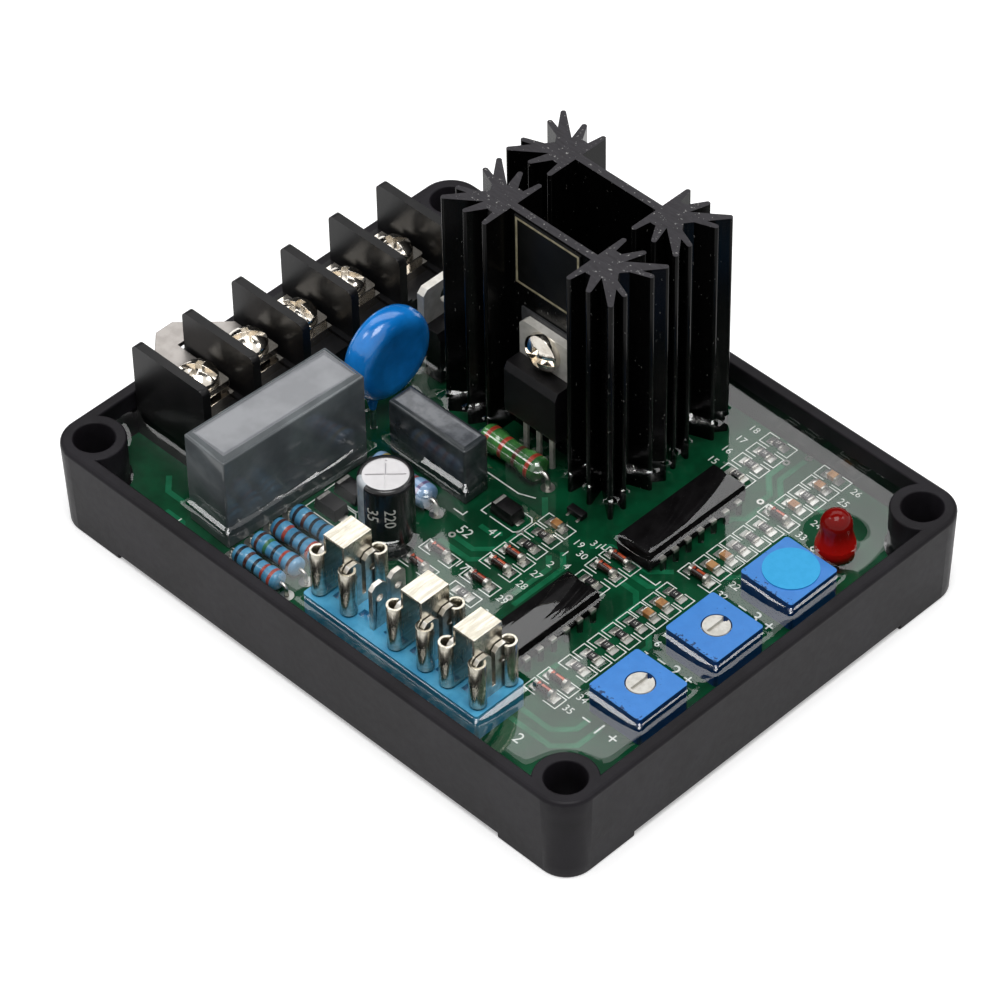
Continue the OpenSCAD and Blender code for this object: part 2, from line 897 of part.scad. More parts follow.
module heat_sink_rear() {
    color("#101011")
        heat_sink(sink_rear_at);
}

// Places of the three power devices: the origin is the foot of the tab's back, the front looks to -Y
module at_front_device() {
    translate([sink_front_at[0] + device_x, sink_front_at[1] - web_t / 2 - pad_t, board_top + device_lift])
        children();
}

module at_rear_device() {
    translate([sink_rear_at[0] + device_x, sink_rear_at[1] + web_t / 2 + pad_t, board_top + device_lift])
        rotate(180)
            children();
}

upright_lift = 0.4;

module at_upright_device() {
    translate([upright_device_at[0], upright_device_at[1], board_top + upright_lift])
        rotate(90)
            children();
}

// The board places of all three, at the board's top
module at_devices() {
    translate([0, 0, -device_lift])
        at_front_device()
            children();
    translate([0, 0, -device_lift])
        at_rear_device()
            children();
    translate([0, 0, -upright_lift])
        at_upright_device()
            children();
}

device_lead = [0.8, 0.5];
device_lead_y = -2.6;
device_lead_points = [for (i = [-1, 0, 1]) [i * pin_pitch, device_lead_y]];
device_chamfer = 0.6;
device_foot_chamfer = 0.2;
device_slope_h = 1.2;

module device_leads(rise) {
    for (p = device_lead_points)
        translate([p[0] - device_lead[0] / 2, p[1] - device_lead[1] / 2, -lead_drop])
            cube([device_lead[0], device_lead[1], lead_drop + rise]);
}

// The moulded body from the side, with its sloped upper and front edges
module device_body() {
    color("#1a1a1a")
        translate([-device_w / 2, 0, 0])
            rotate([90, 0, 90])
                linear_extrude(device_w)
                    polygon([[-tab_t, 0], [-device_t + device_foot_chamfer, 0], [-device_t, device_chamfer],
                        [-device_t, device_body_h - device_slope_h],
                        [-device_t + device_chamfer, device_body_h], [-tab_t, device_body_h]]);
}

module device_frame(lift) {
    color("#b8b8b4")
        difference() {
            union() {
                translate([-device_w / 2, -tab_t, 0])
                    cube([device_w, tab_t, device_h]);
                translate([0, 0, -lift])
                    device_leads(lift);
            }
            translate([0, cut, device_hole_h])
                rotate([90, 0, 0])
                    cylinder(d = device_screw_d + device_screw_room, h = tab_t + 2 * cut);
            for (s = [-1, 1])
                translate([s * device_w / 2, -tab_t / 2, device_h])
                    rotate([0, 45, 0])
                        cube([device_chamfer * 2, tab_t + cut, device_chamfer * 2], center = true);
        }
}

module device_outline() {
    translate([-device_w / 2, -device_t, 0])
        cube([device_w, device_t, device_h]);
}

module front_device_body() {
    at_front_device()
        device_body();
}

module front_device_frame() {
    at_front_device()
        device_frame(device_lift);
}

module rear_device_body() {
    at_rear_device()
        device_body();
}

module rear_device_frame() {
    at_rear_device()
        device_frame(device_lift);
}

module upright_device_body() {
    at_upright_device()
        device_body();
}

module upright_device_frame() {
    at_upright_device()
        device_frame(upright_lift);
}

pad_margin = 0.8;

module insulating_pad() {
    translate([0, pad_t, 0])
        rotate([90, 0, 0])
            linear_extrude(pad_t)
                difference() {
                    translate([-device_w / 2 - pad_margin, -pad_margin])
                        square([device_w + 2 * pad_margin, device_h + 2 * pad_margin]);
                    translate([0, device_hole_h])
                        circle(d = device_screw_d + device_screw_room);
                }
}

module insulating_pads() {
    color("#3a3c3e") {
        at_front_device()
            insulating_pad();
        at_rear_device()
            insulating_pad();
    }
}

device_head_d = 6;
device_head_h = 2.2;
nut_w = 5.5;
nut_h = 2.4;
screw_past_nut = 1;

module device_screw() {
    translate([0, -tab_t, device_hole_h])
        rotate([90, 0, 0])
            pan_screw(device_screw_d, device_head_d, device_head_h,
                tab_t + pad_t + web_t + nut_h + screw_past_nut);
}

module device_screws() {
    color("#d8d2c4") {
        at_front_device()
            device_screw();
        at_rear_device()
            device_screw();
    }
}

module device_nut() {
    translate([0, pad_t + web_t + nut_h, device_hole_h])
        rotate([90, 0, 0])
            difference() {
                cylinder(d = nut_w / cos(30), h = nut_h, $fn = 6);
                translate([0, 0, -cut])
                    cylinder(d = device_screw_d, h = nut_h + 2 * cut);
            }
}

module device_nuts() {
    color("#c6c2b6") {
        at_front_device()
            device_nut();
        at_rear_device()
            device_nut();
    }
}

/* Jumper block */
module at_tab(i) {
    translate([tab_row_at[0] + i * tab_pitch, tab_row_at[1], board_top])
        children();
}

module at_header() {
    translate([tab_row_at[0] + (tabs - 1) * tab_pitch / 2, tab_row_at[1] + header_shift, board_top])
        children();
}

header_edge_r = 0.5;
window_l = 1.9;
window_w = 1.3;
window_depth = 1;
window_inset = 2.2;

module header_block() {
    linear_extrude(header_h)
        rounded_rect((tabs - 1) * tab_pitch + 2 * header_end, header_w, header_edge_r);
}

module jumper_header() {
    color("#2f86bd")
        difference() {
            at_header()
                header_block();
            for (i = [0 : tabs - 1])
                at_tab(i)
                    translate([-tab_t_blade / 2, -tab_w / 2, -cut])
                        cube([tab_t_blade, tab_w, header_h + 2 * cut]);
            for (i = [0 : tabs - 2])
                at_tab(i + 0.5)
                    translate([-window_l / 2, window_inset - header_w / 2, header_h - window_depth])
                        cube([window_l, window_w, 2 * window_depth]);
        }
}

tab_tip = 0.7;
tab_hole_d = 1.2;
tab_hole_drop = 2.6;
tab_slot_foot = 1.5;

module tab_pins() {
    for (s = [-1, 1])
        translate([-tab_pin[0] / 2, s * tab_w / 4 - tab_pin[1] / 2, -lead_drop])
            cube([tab_pin[0], tab_pin[1], lead_drop]);
}

// One prong in its own plane, with a cut tip
module prong_plan() {
    w = (tab_w - tab_slot) / 2;
    difference() {
        polygon([[-w / 2, 0], [w / 2, 0], [w / 2, tab_h - tab_tip], [w / 2 - tab_tip, tab_h],
            [-w / 2 + tab_tip, tab_h], [-w / 2, tab_h - tab_tip]]);
        translate([0, tab_h - tab_hole_drop])
            circle(d = tab_hole_d);
    }
}

module jumper_tabs() {
    color("#cfcabd")
        for (i = [0 : tabs - 1])
            at_tab(i) {
                translate([-tab_t_blade / 2, 0, 0])
                    rotate([90, 0, 90])
                        linear_extrude(tab_t_blade) {
                            for (s = [-1, 1])
                                translate([s * (tab_w + tab_slot) / 4, 0])
                                    prong_plan();
                            translate([-tab_w / 2, 0])
                                square([tab_w, header_h + tab_slot_foot]);
                        }
                tab_pins();
            }
}

link_seat_gap = 0.3;
link_leg_x = tab_pitch / 2 - tab_t_blade / 2 - link_room - link_t / 2;
link_leg_w = 5.2;
roll_x = tab_pitch / 2 - tab_t_blade / 2 - link_room + (roll_d - 2 * link_t) / 2;
roll_y = 2.95;
roll_mouth = 1.15;

// Plan of one leg: a flat strip whose two edges roll round the edges of the tab
module link_leg_plan() {
    translate([link_leg_x, 0])
        square([link_t, 2 * roll_y], center = true);
    for (s = [-1, 1])
        translate([roll_x, s * roll_y])
            difference() {
                circle(d = roll_d);
                circle(d = roll_d - 2 * link_t);
                translate([link_leg_x + link_t / 2 - roll_x, s < 0 ? 0 : -roll_d])
                    square([roll_mouth, roll_d]);
            }
}

// A push-on link over two tabs: two legs with rolled edges, joined by a bridge
module jumper_link(first) {
    foot = header_h + link_seat_gap;
    color("#d9d5cb")
        at_tab(first + 0.5) {
            for (side = [0, 180])
                rotate(side)
                    translate([0, 0, foot])
                        linear_extrude(tab_h - foot)
                            link_leg_plan();
            for (s = [-1, 1])
                translate([s * link_leg_x, 0, (foot + tab_h + bridge_rise) / 2])
                    cube([link_t, link_leg_w, tab_h + bridge_rise - foot], center = true);
            translate([0, 0, tab_h + bridge_rise - link_t / 2])
                cube([2 * link_leg_x + link_t, link_leg_w, link_t], center = true);
        }
}

module jumper_link_1() {
    jumper_link(link_first_tabs[0]);
}

module jumper_link_2() {
    jumper_link(link_first_tabs[1]);
}

module jumper_link_3() {
    jumper_link(link_first_tabs[2]);
}

/* Trimmers and lamp */
module at_trimmer(i) {
    translate([trimmer_row_at[0], trimmer_row_at[1] + i * trimmer_pitch, board_top])
        children();
}

trimmer_edge_r = 0.5;
rotor_slot_w = 0.6;
rotor_slot_h = 0.6;
rotor_slot_l = 3.2;
rotor_notch_w = 0.95;
rotor_notch_h = 0.9;
rotor_seat_gap = 0.2;

module trimmer_block() {
    linear_extrude(trimmer_h)
        rounded_rect(trimmer_w, trimmer_w, trimmer_edge_r);
}

module trimmer_body(i) {
    color("#1f68c4")
        at_trimmer(i) {
            difference() {
                trimmer_block();
                translate([0, rotor_shift, trimmer_h - rotor_depth - rotor_seat_gap])
                    cylinder(d = rotor_d + 2 * rotor_room, h = trimmer_h);
            }
            round_leads(trimmer_leads, thin_lead_d, cut);
        }
}

module trimmer_rotor(i) {
    color("#e9e6dd")
        at_trimmer(i)
            translate([0, rotor_shift, trimmer_h - rotor_depth])
                difference() {
                    cylinder(d = rotor_d, h = rotor_depth);
                    translate([0, 0, rotor_depth])
                        cube([rotor_slot_w, rotor_slot_l, 2 * rotor_slot_h], center = true);
                    translate([0, rotor_d / 2, rotor_depth])
                        cube([rotor_notch_w, rotor_notch_w, 2 * rotor_notch_h], center = true);
                }
}

module voltage_trimmer_body() {
    trimmer_body(0);
}

module stability_trimmer_body() {
    trimmer_body(1);
}

module frequency_trimmer_body() {
    trimmer_body(2);
}

module voltage_rotor() {
    trimmer_rotor(0);
}

module stability_rotor() {
    trimmer_rotor(1);
}

module frequency_rotor() {
    trimmer_rotor(2);
}

seal_t = 0.15;

module rotor_seal() {
    color("#3ba4dd")
        at_trimmer(2)
            translate([0, rotor_shift, trimmer_h])
                cylinder(d = seal_d, h = seal_t);
}

flange_h = 1;
flange_out = 0.45;

// Lens with a flange at its foot and a dome on top
module lamp_solid() {
    translate([0, 0, lamp_lift])
        rotate_extrude() {
            square([lamp_d / 2 + flange_out, flange_h]);
            square([lamp_d / 2, lamp_h - lamp_d / 2]);
            translate([0, lamp_h - lamp_d / 2])
                intersection() {
                    circle(d = lamp_d);
                    square(lamp_d);
                }
        }
    round_leads(lamp_leads, thin_lead_d, lamp_lift + cut);
}

module status_lamp() {
    color("#8f0a0a")
        on_board(lamp_at)
            lamp_solid();
}

/* Chips and small parts */
chip_pin = [0.25, 0.5];
chip_pin_out = 0.6;
chip_taper = 0.25;
chip_band = 2 * chip_pin[0];
chip_notch_d = 2;

// Body from the end: narrower at its top and bottom than at the band where the pins come out
module chip_block() {
    w = chip_w / 2;
    t = chip_t;
    translate([0, chip_l / 2, chip_standoff])
        rotate([90, 0, 0])
            linear_extrude(chip_l)
                polygon([[-w + chip_taper, 0], [w - chip_taper, 0], [w, (t - chip_band) / 2],
                    [w, (t + chip_band) / 2], [w - chip_taper, t], [-w + chip_taper, t],
                    [-w, (t + chip_band) / 2], [-w, (t - chip_band) / 2]]);
}

module chip_body(at) {
    color("#161517")
        on_board(at)
            difference() {
                chip_block();
                translate([0, chip_l / 2, chip_standoff + chip_t - chip_taper])
                    cylinder(d = chip_notch_d, h = chip_t);
            }
}

module at_chip_pins() {
    for (s = [0, 180], i = [0 : chip_pins - 1])
        rotate(s)
            translate([chip_w / 2 + chip_pin_out, (i - (chip_pins - 1) / 2) * pin_pitch, 0])
                children();
}

// A shoulder that comes out of the body's middle and turns down through the board
module chip_pin_set() {
    level = chip_standoff + chip_t / 2;
    at_chip_pins() {
        translate([-chip_pin_out, -chip_pin[1], level - chip_pin[0] / 2])
            cube([chip_pin_out + chip_pin[0] / 2, 2 * chip_pin[1], chip_pin[0]]);
        translate([-chip_pin[0] / 2, -chip_pin[1], 0])
            cube([chip_pin[0], 2 * chip_pin[1], level]);
        translate([-chip_pin[0] / 2, -chip_pin[1] / 2, -lead_drop])
            cube([chip_pin[0], chip_pin[1], lead_drop]);
    }
}

module chip_pins_at(at) {
    color("#c8c8c4")
        on_board(at)
            chip_pin_set();
}

module chip_front_body() {
    chip_body(chip_front_at);
}

module chip_front_pins() {
    chip_pins_at(chip_front_at);
}

module chip_rear_body() {
    chip_body(chip_rear_at);
}

module chip_rear_pins() {
    chip_pins_at(chip_rear_at);
}

axial_end = 1.1;
axial_lift = 0.25;
lead_bend = 0.8;
axial_waist = 0.15;
axial_cap = 0.28;

function axial_lead_points(l) = [[-l / 2 - axial_end, 0], [l / 2 + axial_end, 0]];

// A resistor body that lies along X on the board, a little thicker at its ends
module axial_body(d, l) {
    end = l * axial_cap;
    translate([0, 0, axial_lift + d / 2])
        rotate([0, 90, 0]) {
            cylinder(d = d - 2 * axial_waist, h = l, center = true);
            for (s = [-1, 1])
                translate([0, 0, s * (l - end) / 2])
                    cylinder(d = d, h = end, center = true);
        }
}

// Leads that leave the ends, bend round and go down through the board
module axial_leads(d, l, wire) {
    level = axial_lift + d / 2;
    for (side = [0, 180])
        rotate(side)
            translate([l / 2, 0, 0]) {
                translate([0, 0, level])
                    rotate([0, 90, 0])
                        cylinder(d = wire, h = axial_end - lead_bend);
                translate([axial_end - lead_bend, 0, level - lead_bend])
                    rotate([90, 0, 0])
                        rotate_extrude(angle = 90)
                            translate([lead_bend, 0])
                                circle(d = wire);
                round_leads([[axial_end, 0]], wire, level - lead_bend);
            }
}

module at_film_resistor(i) {
    on_board([film_resistor_at[0], film_resistor_at[1] + i * film_resistor_pitch])
        children();
}

module film_resistors() {
    color("#3f7fb5")
        for (i = [0 : film_resistor_count - 1])
            at_film_resistor(i)
                axial_body(resistor_d, resistor_l);
}

module film_resistor_leads() {
    color("#c8c4b8")
        for (i = [0 : film_resistor_count - 1])
            at_film_resistor(i)
                axial_leads(resistor_d, resistor_l, thin_lead_d);
}

module power_resistor() {
    color("#8fb0cf")
        on_board(power_resistor_at)
            axial_body(power_resistor_d, power_resistor_l);
}

module power_resistor_leads() {
    color("#c8c4b8")
        on_board(power_resistor_at)
            axial_leads(power_resistor_d, power_resistor_l, lead_d);
}

module choke_body() {
    color("#4d7c3a")
        on_board(choke_at)
            axial_body(choke_d, choke_l);
}

module choke_leads() {
    color("#c8c4b8")
        on_board(choke_at)
            axial_leads(choke_d, choke_l, lead_d);
}

module smd_boxes(places, size) {
    for (p = places)
        on_board(p)
            translate([-size[0] / 2, -size[1] / 2, 0])
                cube(size);
}

module smd_resistors() {
    color("#1c1b1c")
        smd_boxes(smd_resistor_at, [smd_l, smd_w, smd_resistor_t]);
}

module smd_capacitors() {
    color("#a9763f")
        smd_boxes(smd_capacitor_at, [smd_l, smd_w, smd_capacitor_t]);
}

diode_lift = 0.12;

module diode_rods() {
    for (p = glass_diode_at)
        on_board(p)
            translate([0, 0, diode_lift + glass_diode_d / 2])
                rotate([0, 90, 0])
                    cylinder(d = glass_diode_d, h = glass_diode_l, center = true);
}

module glass_diodes() {
    color("#c2552f")
        diode_rods();
}

module moulded_diodes() {
    color("#17171a")
        smd_boxes(moulded_diode_at, [moulded_diode_l, moulded_diode_w, moulded_diode_t]);
}

transistor_size = [2.9, 1.3, 1];
transistor_foot = [0.4, 0.55, 0.15];
transistor_pitch = 1.9;

// A body with two feet on one side and one on the other
module transistor_solid() {
    translate([-transistor_size[0] / 2, -transistor_size[1] / 2, 0])
        cube(transistor_size);
    for (p = [[-transistor_pitch / 2, -1], [transistor_pitch / 2, -1], [0, 1]])
        translate([p[0] - transistor_foot[0] / 2,
            p[1] * (transistor_size[1] + transistor_foot[1]) / 2 - transistor_foot[1] / 2, 0])
            cube(transistor_foot);
}

module small_transistor() {
    color("#18181a")
        on_board(transistor_at)
            transistor_solid();
}

tray();
circuit_board();
potting_resin();
terminal_block();
terminal_contacts();
clamp_plates();
terminal_screws();
terminal_link_plate();
film_capacitor_large();
film_capacitor_small();
varistor();
electrolytic_can();
electrolytic_sleeve();
heat_sink_front();
heat_sink_rear();
front_device_body();
front_device_frame();
rear_device_body();
rear_device_frame();
upright_device_body();
upright_device_frame();
insulating_pads();
device_screws();
device_nuts();
jumper_header();
jumper_tabs();
jumper_link_1();
jumper_link_2();
jumper_link_3();
voltage_trimmer_body();
stability_trimmer_body();
frequency_trimmer_body();
voltage_rotor();
stability_rotor();
frequency_rotor();
rotor_seal();
status_lamp();
chip_front_body();
chip_front_pins();
chip_rear_body();
chip_rear_pins();
film_resistors();
film_resistor_leads();
power_resistor();
power_resistor_leads();
choke_body();
choke_leads();
smd_resistors();
smd_capacitors();
glass_diodes();
moulded_diodes();
small_transistor();
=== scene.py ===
import math

import bmesh
import bpy
import numpy as np
from mathutils import Matrix, Vector


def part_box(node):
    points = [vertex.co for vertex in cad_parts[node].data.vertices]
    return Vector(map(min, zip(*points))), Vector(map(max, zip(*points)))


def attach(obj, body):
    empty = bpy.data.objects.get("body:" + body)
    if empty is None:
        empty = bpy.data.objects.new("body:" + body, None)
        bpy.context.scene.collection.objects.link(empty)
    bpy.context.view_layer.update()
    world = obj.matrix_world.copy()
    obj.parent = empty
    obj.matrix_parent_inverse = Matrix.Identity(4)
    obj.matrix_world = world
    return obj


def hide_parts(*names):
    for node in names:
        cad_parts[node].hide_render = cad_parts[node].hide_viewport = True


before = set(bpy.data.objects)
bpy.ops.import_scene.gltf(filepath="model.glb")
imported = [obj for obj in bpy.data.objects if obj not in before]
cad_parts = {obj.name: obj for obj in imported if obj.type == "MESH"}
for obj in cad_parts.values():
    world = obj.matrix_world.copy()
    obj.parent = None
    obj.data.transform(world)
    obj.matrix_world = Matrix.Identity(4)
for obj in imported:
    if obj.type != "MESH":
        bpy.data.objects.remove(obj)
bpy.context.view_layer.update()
scene = bpy.context.scene
scene.view_settings.view_transform = "Standard"

# Camera
# A long lens looks down on the corner between the jumper block and the trimmers.
# Sizes here and below are in millimetres, and MM turns them into metres.
MM = 0.001
azimuth, elevation, roll = (math.radians(angle) for angle in (45.623, 44.478, -1.092))
back = Vector((math.sin(azimuth) * math.cos(elevation),
               -math.cos(azimuth) * math.cos(elevation), math.sin(elevation)))
level = Vector((math.cos(azimuth), math.sin(azimuth), 0))
upright = back.cross(level)
camera_right = level * math.cos(roll) + upright * math.sin(roll)
camera_up = upright * math.cos(roll) - level * math.sin(roll)
camera_at = camera_right * -0.793 + camera_up * 6.685 + back * 713.406
lens = bpy.data.cameras.new("long_lens")
lens.lens = 182.72
lens.sensor_width = 36
lens.clip_start = 0.01
camera = bpy.data.objects.new("camera", lens)
camera.matrix_world = Matrix.Translation(camera_at * MM) @ Matrix(
    (camera_right, camera_up, back)).transposed().to_4x4()
scene.collection.objects.link(camera)
scene.camera = camera

# Tray
# A black moulded tray with a screw pillar in each corner, open at the top.
# Its outer faces have the fine satin grain of a spark-eroded mould, and every edge is eased.


def tone(code):
    """A linear colour from a hex code."""
    parts = [int(code[i:i + 2], 16) / 255 for i in (1, 3, 5)]
    return tuple(c / 12.92 if c < 0.04045 else ((c + 0.055) / 1.055) ** 2.4 for c in parts) + (1,)


class Value:
    """A socket that takes part in Python arithmetic: each operator adds a Math node."""

    def __init__(self, tree, socket):
        self.tree = tree
        self.socket = socket

    def math(self, operation, first, second):
        return self.tree.node("Math", {"operation": operation}, {0: first, 1: second})

    def __add__(self, other):
        return self.math("ADD", self, other)

    def __sub__(self, other):
        return self.math("SUBTRACT", self, other)

    def __rsub__(self, other):
        return self.math("SUBTRACT", other, self)

    def __mul__(self, other):
        return self.math("MULTIPLY", self, other)

    def __pow__(self, other):
        return self.math("POWER", self, other)

    def __mod__(self, other):
        return self.math("FLOORED_MODULO", self, other)

    def larger(self, other):
        return self.math("MAXIMUM", self, other)


class Tree:
    """A node tree to which nodes are added by type, settings and socket values."""

    def __init__(self, nodes):
        self.nodes = nodes

    def node(self, kind, settings=None, inputs=None, output=0):
        made = self.nodes.nodes.new("ShaderNode" + kind)
        for name, value in (settings or {}).items():
            setattr(made, name, value)
        for key, value in (inputs or {}).items():
            if isinstance(value, Value):
                self.nodes.links.new(value.socket, made.inputs[key])
            else:
                made.inputs[key].default_value = value
        return Value(self, made.outputs[output])

    def blend(self, factor, first, second):
        return self.node("Mix", {"data_type": "RGBA"}, {0: factor, 6: first, 7: second}, 2)

    def ramp(self, value, low, high):
        return self.node("MapRange", {"interpolation_type": "SMOOTHSTEP"},
                         {"Value": value, "From Min": low, "From Max": high})

    def place(self, axis):
        """The object's own X, Y or Z in millimetres."""
        spot = self.node("TexCoord", output=3)
        return self.node("SeparateXYZ", None, {0: spot}, axis) * (1 / MM)

    def grain(self, size, stretch=(1, 1, 1), detail=3.0):
        """Soft noise whose features are about size across, drawn out along an axis by stretch."""
        spot = self.node("TexCoord", output=3)
        scale = tuple(1 / (size * MM * s) for s in stretch)
        spot = self.node("Mapping", None, {"Vector": spot, "Scale": scale})
        return self.node("TexNoise", None, {"Vector": spot, "Scale": 1.0, "Detail": detail,
                                            "Roughness": 0.55})


class Finish(Tree):
    """A surface finish: one material with a principled shader, mottled where patches are given."""

    def __init__(self, name, colour, roughness, patches=None, specular=0.5, **constants):
        self.material = bpy.data.materials.new(name)
        self.material.use_nodes = True
        super().__init__(self.material.node_tree)
        self.shader = self.nodes.nodes["Principled BSDF"]
        self.shader.inputs["Base Color"].default_value = tone(colour)
        self.shader.inputs["Roughness"].default_value = roughness
        self.shader.inputs["Specular IOR Level"].default_value = specular
        for socket, value in constants.items():
            self.shader.inputs[socket.replace("_", " ")].default_value = value
        if patches:
            self.mottle(*patches)

    def feed(self, socket, value):
        self.nodes.links.new(value.socket, self.shader.inputs[socket])

    def bump(self, height, depth, strength):
        self.feed("Normal", self.node("Bump", None, {"Height": height, "Strength": strength,
                                                      "Distance": depth * MM}))

    def mottle(self, first, second, size, stretch=(1, 1, 1)):
        """Blend two tones over the surface in soft patches."""
        patch = self.ramp(self.grain(size, stretch), 0.35, 0.65)
        self.feed("Base Color", self.blend(patch, tone(first), tone(second)))


def dress(node, finish, edge=0.0, segments=2):
    """Give a solid of the frame its finish, and eased edges of that radius."""
    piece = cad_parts[node]
    for place in piece.material_slots:
        place.material = finish.material
    if edge:
        weld = piece.modifiers.new("joined_corners", "WELD")
        weld.merge_threshold = 0.002 * MM
        ease = piece.modifiers.new("eased_edges", "BEVEL")
        ease.width = edge * MM
        ease.segments = segments
        ease.limit_method = "ANGLE"
        ease.angle_limit = math.radians(38)
        ease.harden_normals = True


tray_plastic = Finish("tray_plastic", "#1b191c", 0.44, ("#171518", "#1f1d21", 9.0), specular=0.11)
tray_plastic.feed("Roughness", tray_plastic.grain(1.2) * 0.16 + 0.34)
tray_plastic.bump(tray_plastic.grain(0.28), 0.02, 0.6)
dress("tray", tray_plastic, 0.28, 3)

# Circuit board
# Glass fibre board under green solder mask, with tinned rings at the plated holes.
# The copper shows through the mask as paler green tracks that turn at 45 degrees.
BOARD_TOP = 7.5
TRACK_WIDTH = 0.85
FILM_X, FILM_Y, FILM_PITCH = -15.3, -32.7, 3.65
POWER_AT, CHOKE_AT = (-13, -7.2), (-5.6, 7.3)


def ribbon(mesh, points, width, height):
    """A flat strip of even width along a bent line, mitred at its corners."""
    points = [Vector((*p, 0)) for p in points]
    ways = [(b - a).normalized() for a, b in zip(points, points[1:])]
    sides = [Vector((-w.y, w.x, 0)) for w in ways]
    edge = None
    for i, point in enumerate(points):
        before, after = sides[max(i - 1, 0)], sides[min(i, len(sides) - 1)]
        mitre = (before + after).normalized()
        mitre *= width / 2 / max(mitre.dot(after), 0.3)
        ends = (point + mitre, point - mitre)
        if edge is None:
            pair = [mesh.verts.new((v.x, v.y, height)) for v in ends]
            edge = mesh.edges.new(pair)
            continue
        made = bmesh.ops.extrude_edge_only(mesh, edges=[edge])["geom"]
        fresh = [v for v in made if isinstance(v, bmesh.types.BMVert)]
        near = {v: min(edge.verts, key=lambda o: (o.co - v.co).length) for v in fresh}
        order = [next(v for v in fresh if near[v] is old) for old in pair]
        for vert, spot in zip(order, ends):
            vert.co = (spot.x, spot.y, height)
        pair = order
        edge = next(e for e in made if isinstance(e, bmesh.types.BMEdge))


def thicken(mesh, thickness):
    """Turn flat strips into thin closed solids that reach down by thickness."""
    bmesh.ops.recalc_face_normals(mesh, faces=mesh.faces[:])
    for face in mesh.faces:
        if face.normal.z < 0:
            face.normal_flip()
    grown = bmesh.ops.extrude_face_region(mesh, geom=mesh.faces[:], use_keep_orig=True)["geom"]
    low = [v for v in grown if isinstance(v, bmesh.types.BMVert)]
    bmesh.ops.translate(mesh, vec=(0, 0, -thickness), verts=low)
    bmesh.ops.recalc_face_normals(mesh, faces=mesh.faces[:])
    return mesh


def add_piece(name, mesh, finishes, stands_for=(), body="regulator", crease=38):
    """Make a mesh in millimetres a piece of the object that rides on a body."""
    bmesh.ops.scale(mesh, vec=(MM, MM, MM), verts=mesh.verts[:])
    data = bpy.data.meshes.new(name)
    mesh.to_mesh(data)
    mesh.free()
    data.shade_smooth()
    data.set_sharp_from_angle(angle=math.radians(crease))
    for finish in finishes:
        data.materials.append(finish.material)
    piece = bpy.data.objects.new(name, data)
    scene.collection.objects.link(piece)
    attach(piece, body)
    if stands_for:
        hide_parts(*stands_for)


mask_green = Finish("solder_mask", "#084129", 0.32, ("#073620", "#094a2d", 6.0), specular=0.06)
dress("circuit_board", mask_green)

track_green = Finish("masked_copper", "#17694a", 0.3, ("#105a3a", "#1a6e4b", 3.0), specular=0.06)
tracks = bmesh.new()
track_routes = [
    [(22.6, -25.4), (33.8, -25.4), (36.2, -23.0), (36.2, -20.4)],
    [(24.6, -27.6), (35.8, -27.6), (38.4, -25.0), (38.4, -20.6)],
    [(24.6, -24.0), (26.0, -22.6), (26.0, -16.0)],
    [(24.4, 26.4), (24.4, 27.8), (21.7, 30.5), (21.7, 33.4)],
    [(26.0, 26.4), (26.0, 28.4), (23.4, 31.0), (23.4, 36.2)],
    [(23.9, 19.8), (23.9, 20.6), (25.3, 22.0), (25.3, 25.0)],
    [(10.6, -2.2), (12.4, -4.0), (12.4, -11.0)],
    [(11.6, -0.4), (13.8, -2.6), (13.8, -12.4)],
    [(-1.6, -8.6), (2.2, -8.6), (4.6, -6.2), (4.6, -2.4)],
    [(-2.6, -10.4), (3.2, -10.4), (5.4, -8.2)],
    [(-0.4, -4.6), (2.0, -4.6), (3.0, -3.6)],
    [(13.5, 3.0), (15.6, 5.1), (22.8, 5.1), (25.2, 7.5)],
    [(20.6, 1.0), (24.2, 1.0), (26.0, -0.8), (26.0, -8.0)],
    [(20.8, 3.0), (24.6, 3.0), (26.0, 4.4)],
    [(31.0, -3.6), (32.6, -5.2), (32.6, -8.0)],
    [(31.0, 11.6), (32.4, 13.0), (32.4, 18.0)],
    [(-34.0, -33.0), (-30.6, -33.0), (-29.0, -34.6), (-22.4, -34.6)],
    [(-38.8, -28.0), (-36.6, -30.2), (-33.4, -30.2)],
    [(30.6, 30.4), (33.0, 30.4), (36.0, 27.4)],
    [(2.2, 5.6), (4.6, 3.2), (5.0, 3.2)],
]
for route in track_routes:
    ribbon(tracks, route, TRACK_WIDTH, BOARD_TOP + 0.03)
add_piece("board_tracks", thicken(tracks, 0.028), [track_green])

solder = Finish("solder", "#b0b0ab", 0.32, Metallic=1.0)
solder.bump(solder.grain(0.5), 0.03, 0.7)
hole_rings = bmesh.new()
via_places = [(21.7, 34.2), (23.4, 37.0), (26.0, 26.0), (24.4, 25.9), (35.0, -8.8), (5.6, -7.9),
              (12.4, -11.8), (-1.9, -8.6), (32.6, -8.8), (36.6, 27.0), (4.6, -1.8), (11.2, -19.6)]
lead_places = [(FILM_X + side * 5.5, FILM_Y + FILM_PITCH * i) for i in range(4) for side in (-1, 1)]
lead_places += [(x + side * reach, y) for (x, y), reach in ((POWER_AT, 6.6), (CHOKE_AT, 6.7))
                for side in (-1, 1)]
for outer, inner, places in ((0.55, 0.25, via_places), (1.05, 0.36, lead_places)):
    for x, y in places:
        face = bmesh.ops.create_circle(hole_rings, cap_ends=True, radius=outer, segments=20,
                                       matrix=Matrix.Translation((x, y, BOARD_TOP + 0.035)))
        disc = list({f for v in face["verts"] for f in v.link_faces})
        bmesh.ops.inset_region(hole_rings, faces=disc, thickness=outer - inner, use_boundary=True)
        bmesh.ops.delete(hole_rings, geom=disc, context="FACES")
add_piece("hole_rings", thicken(hole_rings, 0.033), [solder])

